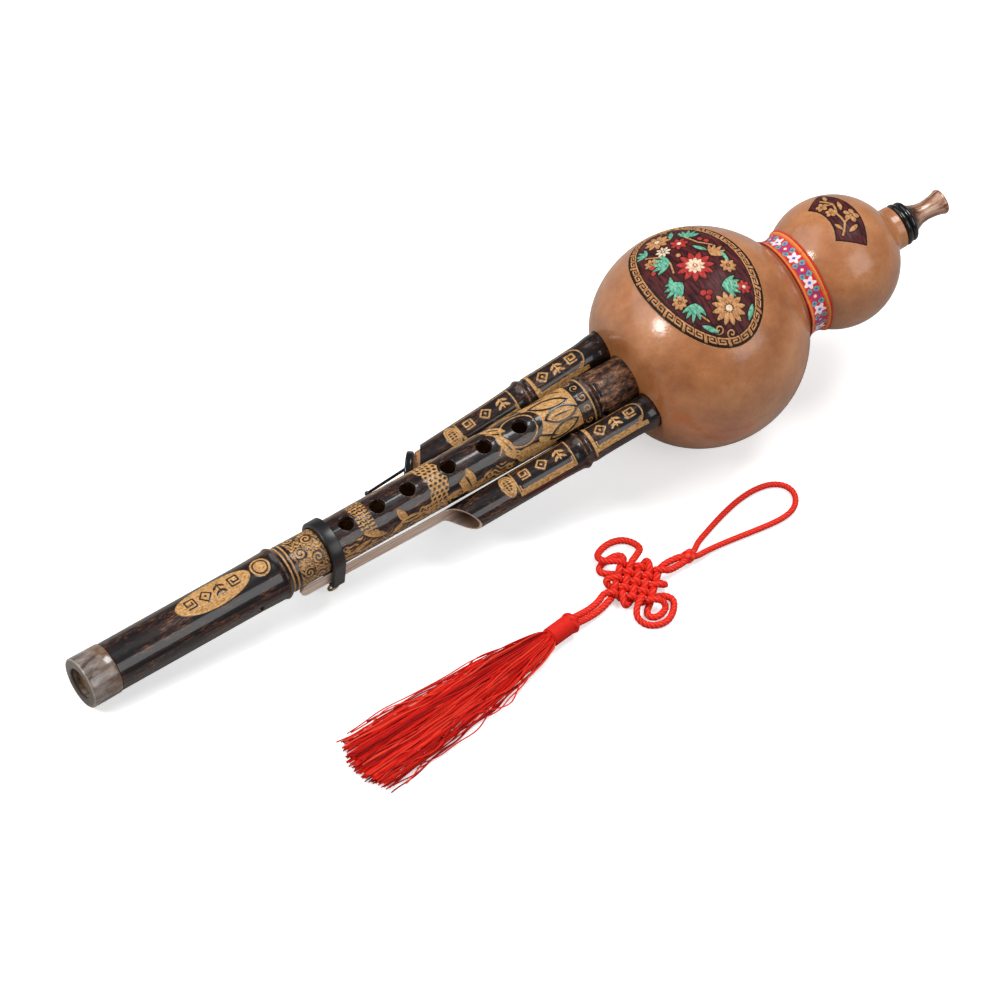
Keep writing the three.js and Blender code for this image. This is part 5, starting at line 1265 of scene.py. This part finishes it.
silk = red_silk("red_silk_cord")
LOOP_ROUTE = [
    (49.0, -66.7, 3.0), (50.4, -66.4, 2.8), (54.6, -63.6, 2.2), (62.8, -60.1, 1.3), (73.5, -56.4, 1.3),
    (83.3, -53.9, 1.3), (92.6, -53.1, 1.3), (99.6, -54.3, 1.3), (104.2, -57.6, 1.3), (105.5, -61.9, 1.3),
    (103.9, -66.0, 1.3), (100.3, -68.9, 1.3), (95.1, -70.3, 1.3), (88.5, -70.5, 1.3), (80.9, -70.0, 1.3),
    (72.8, -69.3, 1.3), (65.4, -68.7, 1.3), (58.5, -68.5, 1.6), (53.5, -69.0, 2.6), (50.4, -69.2, 2.8),
    (49.0, -69.0, 3.0),
]
BUTTON, BUTTON_AXIS = (46.8, -67.6, 3.1), (0.9875, 0.157)
KNOT_X, KNOT_Y, KNOT_PITCH, KNOT_SLANT, KNOT_LIFT = 19.4, -67.7, 4.0, 0.74, 1.9
HEAD_TOP, HEAD_Z, HEAD_AXIS, SKIRT_AXIS = (-15.4, -71.4), 5.05, (-0.9875, -0.157), (-0.9927, -0.121)


def through(points, step=0.35):
    """A smooth centripetal curve through points, sampled every step: between neighbours b and c the knots are
    spaced by the root of the distance, and the point is the nested blend of a, b, c and d over them."""
    points = np.asarray(points, float)
    points = np.concatenate([[2 * points[0] - points[1]], points, [2 * points[-1] - points[-2]]])
    runs = []
    for a, b, c, d in zip(points[:-3], points[1:-2], points[2:-1], points[3:]):
        gaps = [max(math.sqrt(np.linalg.norm(q - p)), 1e-4) for p, q in ((a, b), (b, c), (c, d))]
        ta, tb = 0.0, gaps[0]
        tc, td = tb + gaps[1], tb + gaps[1] + gaps[2]
        count = max(3, int(np.linalg.norm(c - b) / step))
        t = np.linspace(tb, tc, count, endpoint=False)[:, None]
        ab = a * (tb - t) / (tb - ta) + b * (t - ta) / (tb - ta)
        bc = b * (tc - t) / (tc - tb) + c * (t - tb) / (tc - tb)
        cd = c * (td - t) / (td - tc) + d * (t - tc) / (td - tc)
        abc = ab * (tc - t) / (tc - ta) + bc * (t - ta) / (tc - ta)
        bcd = bc * (td - t) / (td - tb) + cd * (t - tb) / (td - tb)
        runs.append(abc * (tc - t) / (tc - tb) + bcd * (t - tb) / (tc - tb))
    return np.concatenate(runs + [points[-2][None]])


def twisted_cord(name, route, radius):
    """A four-strand cord: r (0.84 + 0.16 |sin 2 (angle - 2 pi length / lay)|^0.7) round the route. Averaging
    each point with its neighbours rounds off the turns that are tighter than such a cord makes. A real thread
    is too fine to show, so a few light bands round the cord stand for them."""
    path = through(route) * MM
    for _ in range(ROUNDING_PASSES):
        path[1:-1] = (path[:-2] + 2 * path[1:-1] + path[2:]) / 4
    length = np.concatenate([[0], np.cumsum(np.linalg.norm(np.diff(path, axis=0), axis=1))])
    angle = round_angle(24)
    lay = 4.6 * radius * MM
    ridge = np.abs(np.sin(2 * (angle - 2 * np.pi * length[:, None] / lay))) ** 0.7
    threads = np.abs(np.sin(9 * angle + 2 * np.pi * length[:, None] / lay))
    obj = sweep(name, path, radius * MM * (0.84 + 0.16 * ridge), silk, 24)
    # Painted highlight and shade: each strand lighter on its crest and darker in the grooves between strands,
    # with lighter bands for the threads.
    paint(obj, tone=(0.15 + 0.6 * ridge + 0.25 * threads).ravel())
    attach(obj, "tassel")
    return obj, path, float(length[-1])


def lattice(i, j, height):
    """The knot's lattice place i, j at a height over its middle plane."""
    along = KNOT_PITCH * (i + j - 4) * math.cos(KNOT_SLANT)
    across = KNOT_PITCH * (i - j) * math.sin(KNOT_SLANT)
    return (KNOT_X + along, KNOT_Y - across, KNOT_LIFT + 1.2 + height)


def strand(fixed, forward, across):
    """One run of the cord over five crossings, over and under by turns, across the knot or along it."""
    places = [(k, fixed) if across else (fixed, k) for k in range(5)]
    run = [lattice(i, j, KNOT_LIFT if ((i + j) % 2 == 0) == across else -KNOT_LIFT) for i, j in places]
    return run if forward else run[::-1]


def rim_turn(from_i, from_j, to_i, to_j):
    """The place past the knot's rim where the cord turns from one run to the next."""
    out_i = math.copysign(1, from_i - 2) if from_i == to_i else 0
    out_j = math.copysign(1, from_j - 2) if from_j == to_j else 0
    return lattice((from_i + to_i) / 2 + out_i * 1.05, (from_j + to_j) / 2 + out_j * 1.05, 0)


BIG_FAR_EAR = [(13.6, -53.2, 4.7), (12.9, -50.2, 3.2), (14.6, -47.4, 1.6), (18.8, -45.7, 1.4),
               (23.8, -45.4, 1.4), (28.4, -47.0, 1.4), (31.2, -50.6, 1.6), (31.0, -54.4, 3.0),
               (27.8, -56.8, 4.5)]
SMALL_FAR_EAR = [(11.4, -56.8, 1.6), (10.2, -54.9, 1.4), (11.8, -52.9, 1.4), (16.4, -51.8, 1.4),
                 (20.8, -51.7, 1.4), (23.0, -52.9, 1.4), (22.7, -55.0, 1.5)]
OUTER_NEAR_EAR = [(12.2, -78.6, 4.3), (10.4, -82.0, 2.6), (12.0, -86.0, 1.5), (16.6, -88.8, 1.4),
                  (22.0, -88.6, 1.4), (26.8, -85.4, 1.4), (29.2, -81.4, 1.4), (27.6, -78.6, 1.6)]
INNER_NEAR_EAR = [(16.2, -81.0, 1.6), (15.4, -83.2, 1.4), (17.4, -85.0, 1.4), (20.8, -85.0, 1.5),
                  (23.8, -83.6, 2.6), (23.4, -81.2, 4.4)]
long_route = [
    (44.6, -68.8, 3.1), (43.0, -69.1, 3.1), lattice(4.9, 4.2, KNOT_LIFT / 2), *strand(4, False, True),
    *BIG_FAR_EAR, *strand(1, False, False), rim_turn(1, 0, 2, 0), *strand(2, True, False),
    rim_turn(2, 4, 3, 4), *strand(3, False, False), *OUTER_NEAR_EAR, *strand(1, False, True),
    rim_turn(0, 1, 0, 2), *strand(2, True, True), rim_turn(4, 2, 4, 3), *strand(3, False, True),
    *SMALL_FAR_EAR, *strand(0, False, False), lattice(-0.2, -0.9, 0), (1.0, -70.6, 2.4), (-5.0, -71.8, 2.4),
    (-14.8, -72.9, 4.4), (-17.0, -73.0, 5.0),
]
short_route = [
    (44.6, -66.6, 3.1), (43.0, -66.1, 3.1), lattice(4.2, 4.9, -KNOT_LIFT / 2), *strand(4, False, False),
    *INNER_NEAR_EAR, *strand(0, False, True), lattice(-0.9, -0.2, 0), (1.0, -67.2, 2.4), (-5.0, -68.6, 2.4),
    (-14.8, -69.9, 4.4), (-17.0, -70.6, 5.0),
]
loop, loop_path, loop_length = twisted_cord("hanging_loop_cord", LOOP_ROUTE, LOOP_CORD_R)
long_cord, long_path, long_length = twisted_cord("endless_knot_long_cord", long_route, KNOT_CORD_R)
short_cord, short_path, short_length = twisted_cord("endless_knot_short_cord", short_route, KNOT_CORD_R)


def flat_place(origin, axis, z):
    """Turns t along the axis, h across it and u up, in mm, to the row frame from a point on the table."""
    axis = np.array(axis) / math.hypot(*axis)

    def place(t, h, u):
        t, h, u = np.broadcast_arrays(t, h, u)
        return np.stack([origin[0] + t * axis[0] - h * axis[1], origin[1] + t * axis[1] + h * axis[0], z + u],
                        -1) * MM
    return place


def button_knot():
    """A round knot: bulging lobes of cord that cross at a slant, sunk where they meet, and tapering ends."""
    share = np.linspace(-1, 1, 61)[:, None]
    angle = round_angle(96)
    lobes = np.abs(np.sin(2 * angle + 2.6 * share)) ** 0.5
    lobes = lobes + np.abs(np.sin(2 * angle - 2.6 * share + 0.8)) ** 0.5
    radius = BUTTON_R * np.sqrt(1.0001 - np.abs(share) ** 3.2) * (0.78 + 0.12 * lobes)
    place = flat_place(BUTTON[:2], BUTTON_AXIS, BUTTON[2])
    grid = place(share * BUTTON_HALF, radius * np.sin(angle), radius * np.cos(angle))
    # Painted highlight and shade: the lobes lighter, the sunk places where they meet darker.
    return paint(surface("button_knot_tied", grid, silk), tone=(lobes / 2 + 0 * radius).ravel())


def tassel_head():
    """The binding: one fat knobby turn of cord at the top, then thread wound closely over a cylinder."""
    along = np.linspace(0, TASSEL_HEAD_LENGTH, 281)[:, None]
    angle = round_angle(128)
    fat = np.sqrt(np.clip(1 - ((along - 1.8) / 1.8) ** 2, 0, 1))
    knobs = np.abs(np.sin(3.5 * angle + along * 0.9)) ** 0.6
    wound = np.abs(np.sin((along / BINDING_STEP + angle / (2 * np.pi)) * np.pi)) ** 0.7
    radius = np.maximum(3.0 + 1.75 * fat * (0.86 + 0.14 * knobs), (4.05 + 0.22 * wound) * (along > 3.0))
    radius = radius * np.clip((TASSEL_HEAD_LENGTH + 0.4 - along) / 0.9, 0.05, 1) ** 0.4
    grid = flat_place(HEAD_TOP, HEAD_AXIS, HEAD_Z)(along, radius * np.sin(angle), radius * np.cos(angle))
    # Painted highlight and shade: the wound ridges and the knobs lighter, the grooves between them darker.
    tone = np.where(along > 3.2, 0.2 + 0.6 * wound, 0.1 + 0.7 * knobs * fat)
    return paint(surface("tassel_head_bound", grid, silk), tone=tone.ravel())


def skirt_strands(name, count, seed, loose=0.0):
    """Loose silk threads: each starts in a round bundle and fans out by share ** 0.52 to a flat end, waving
    by three sines of its own, and lies on the table or on the threads below it. Silk is finer than these,
    which are as thick as they need to be to show."""
    random = np.random.default_rng(seed)
    steps = 44
    each = (count, 1)
    share = np.linspace(0, 1, steps)[None, :]
    spot = np.sqrt(random.uniform(0, 1, each))
    turn = random.uniform(0, 2 * np.pi, each)
    fan = np.sort(random.uniform(-1, 1, each), axis=0) * (1 + loose * random.uniform(-0.1, 0.12, each))
    start_h, start_u = BUNDLE_R * spot * np.cos(turn), BUNDLE_R * spot * np.sin(turn)
    fan = 0.55 * fan + 0.45 * start_h / BUNDLE_R
    length = STRAND_LENGTH + random.normal(0, 1.6, each) - 7.0 * fan ** 2
    length = length - 18 * loose * random.uniform(0, 1, each) ** 3
    end_h = fan * SKIRT_HALF / 0.98
    spread = share ** 0.52
    wave = 0
    for size, turns in ((1.05, 1.7), (0.5, 4.2), (0.22, 8.5)):
        swing = random.normal(0, size * (1 + loose), each)
        wave = wave + swing * np.sin(share * turns * np.pi + random.uniform(0, 6.3, each))
    wave = wave * np.minimum(share * 3, 1)
    pile = random.uniform(0, 1, each) * PILE * np.sqrt(np.clip(1 - (end_h / 18.5) ** 2, 0.02, 1))
    lift = np.sin(np.minimum(share * 1.15, 1) * np.pi / 2)
    h = np.clip(start_h * (1 - spread) + end_h * spread + wave, -SKIRT_HALF, SKIRT_HALF)
    u = (BUNDLE_Z + start_u) * (1 - lift) + (0.35 + pile) * lift + 0.1 * wave * lift
    place = flat_place(SKIRT_AT, SKIRT_AXIS, 0)
    paths = place(share * np.minimum(length, STRAND_LENGTH + 2) - 0.6, h, np.maximum(u, 0.3))
    tangent = np.gradient(paths, axis=1)
    tangent /= np.linalg.norm(tangent, axis=2)[..., None]
    side = np.cross([0, 0, 1.0], tangent)
    side /= np.linalg.norm(side, axis=2)[..., None]
    top = np.cross(tangent, side)
    angle = round_angle(4)
    ring = side[:, :, None] * np.cos(angle)[:, None] + top[:, :, None] * np.sin(angle)[:, None]
    points = (paths[:, :, None] + THREAD_R * MM * ring).reshape(-1, 3)
    index = np.arange(count * steps * 4).reshape(count, steps, 4)
    after = np.roll(index, -1, 2)
    quads = np.stack([index[:, :-1], after[:, :-1], after[:, 1:], index[:, 1:]], -1).reshape(-1, 4)
    ends = np.concatenate([index[:, 0, ::-1], index[:, -1]])
    obj = mesh_object(name, points, [quads, ends], skirt_silk, 80)
    tone = random.uniform(0.0, 1.0, (count, 1, 1)) + np.zeros((1, steps, 4))
    return paint(obj, tone=tone.ravel())


skirt_silk = red_silk("red_silk_thread", 0.45)
button = button_knot()
head = tassel_head()
skirt = skirt_strands("tassel_skirt_threads", 220, 3)
skirt_top = skirt_strands("tassel_skirt_loose_threads", 90, 8, 1.0)
for obj in (button, head, skirt, skirt_top):
    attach(obj, "tassel")
for obj, covered in ((loop, "hanging_loop"), (long_cord, "endless_knot_long"),
                     (short_cord, "endless_knot_short"), (button, "button_knot"),
                     (head, "tassel_head"), (skirt, "tassel_skirt")):
    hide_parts(covered)


# Camera and room.
# A long lens about five metres off looks down on the table, turned so that the flute rises
# to the right. The table is pale, under soft lamps, and its surroundings are white.
camera_data = bpy.data.cameras.new("camera")
camera_data.lens = 435.6
camera_data.sensor_width = 36
camera_data.clip_end = 20
camera = bpy.data.objects.new("camera", camera_data)
right = (0.81064577, -0.56645359, 0.14826922)
up = (0.4006574, 0.72126967, 0.56501655)
away = (0.42699774, 0.39862312, -0.81164804)
place = (-2.1510546, -2.0077529, 4.0794811)
camera.matrix_world = Matrix([[r, u, -a, p] for r, u, a, p in zip(right, up, away, place)] + [[0, 0, 0, 1]])
bpy.context.collection.objects.link(camera)
bpy.context.scene.camera = camera
bpy.context.scene.view_settings.view_transform = "Standard"

world = bpy.data.worlds.new("room")
bpy.context.scene.world = world
world.use_nodes = True
tree = world.node_tree
tree.nodes.clear()
rays = node(tree, "ShaderNodeLightPath")
seen = node(tree, "ShaderNodeMath", {"operation": "MAXIMUM"},
            {0: rays.outputs["Is Camera Ray"], 1: rays.outputs["Is Transmission Ray"]})
strength = node(tree, "ShaderNodeMapRange", {"To Min": 0.15, "To Max": 1.0}, {"Value": seen.outputs[0]})
sky = node(tree, "ShaderNodeBackground", {"Color": (1, 1, 1, 1)}, {"Strength": strength.outputs[0]})
node(tree, "ShaderNodeOutputWorld", links={"Surface": sky.outputs[0]})


def lamp(name, towards, distance, size, power, aim=(0, 0, 0.04), shape="SQUARE"):
    """A soft lamp at aim + towards * distance, facing aim."""
    data = bpy.data.lights.new(name, "AREA")
    data.shape = shape
    data.size = size
    data.energy = power
    spot = bpy.data.objects.new(name, data)
    back = np.array(towards) / np.linalg.norm(towards)
    side = np.cross((0, 0, 1.0), back)
    side /= np.linalg.norm(side)
    turned_in = np.column_stack([side, np.cross(back, side), back])
    stand = Matrix.Translation(np.array(aim) + back * distance)
    spot.matrix_world = stand @ Matrix(turned_in.tolist()).to_4x4()
    bpy.context.collection.objects.link(spot)


lamp("softbox_over_the_pipe_end", (-0.787, 0.202, 0.583), 1.8, 0.46, 14, (0.09, 0, 0.046), "DISK")
lamp("softbox_over_the_tassel", (0.264, -0.697, 0.666), 1.8, 1.2, 12, (0.157, 0, 0.055))
lamp("overhead", (0.43, 0.16, 0.89), 2.0, 0.9, 26)
lamp("wide_softbox_behind", (-0.5, 0.65, 0.6), 2.2, 2.0, 22)

bpy.ops.mesh.primitive_plane_add(size=12)
table = bpy.context.object
table.name = "table"
# Matt white paper. The camera sees it lifted nearly to white; the object is lit by it as by a duller sheet.
paper = bpy.data.materials.new("white_paper_sweep")
paper.use_nodes = True
tree = paper.node_tree
tree.nodes.clear()
rays = node(tree, "ShaderNodeLightPath")
matt = node(tree, "ShaderNodeBsdfDiffuse", links={"Color": "#f4f4f4"})
dull = node(tree, "ShaderNodeBsdfDiffuse", links={"Color": "#aba7a2"})
lift = node(tree, "ShaderNodeEmission", {"Color": (1, 1, 1, 1), "Strength": 0.48})
both = node(tree, "ShaderNodeAddShader", links={0: matt.outputs[0], 1: lift.outputs[0]})
mixed = node(tree, "ShaderNodeMixShader",
             links={0: rays.outputs["Is Camera Ray"], 1: dull.outputs[0], 2: both.outputs[0]})
node(tree, "ShaderNodeOutputMaterial", links={"Surface": mixed.outputs[0]})
table.data.materials.append(paper)
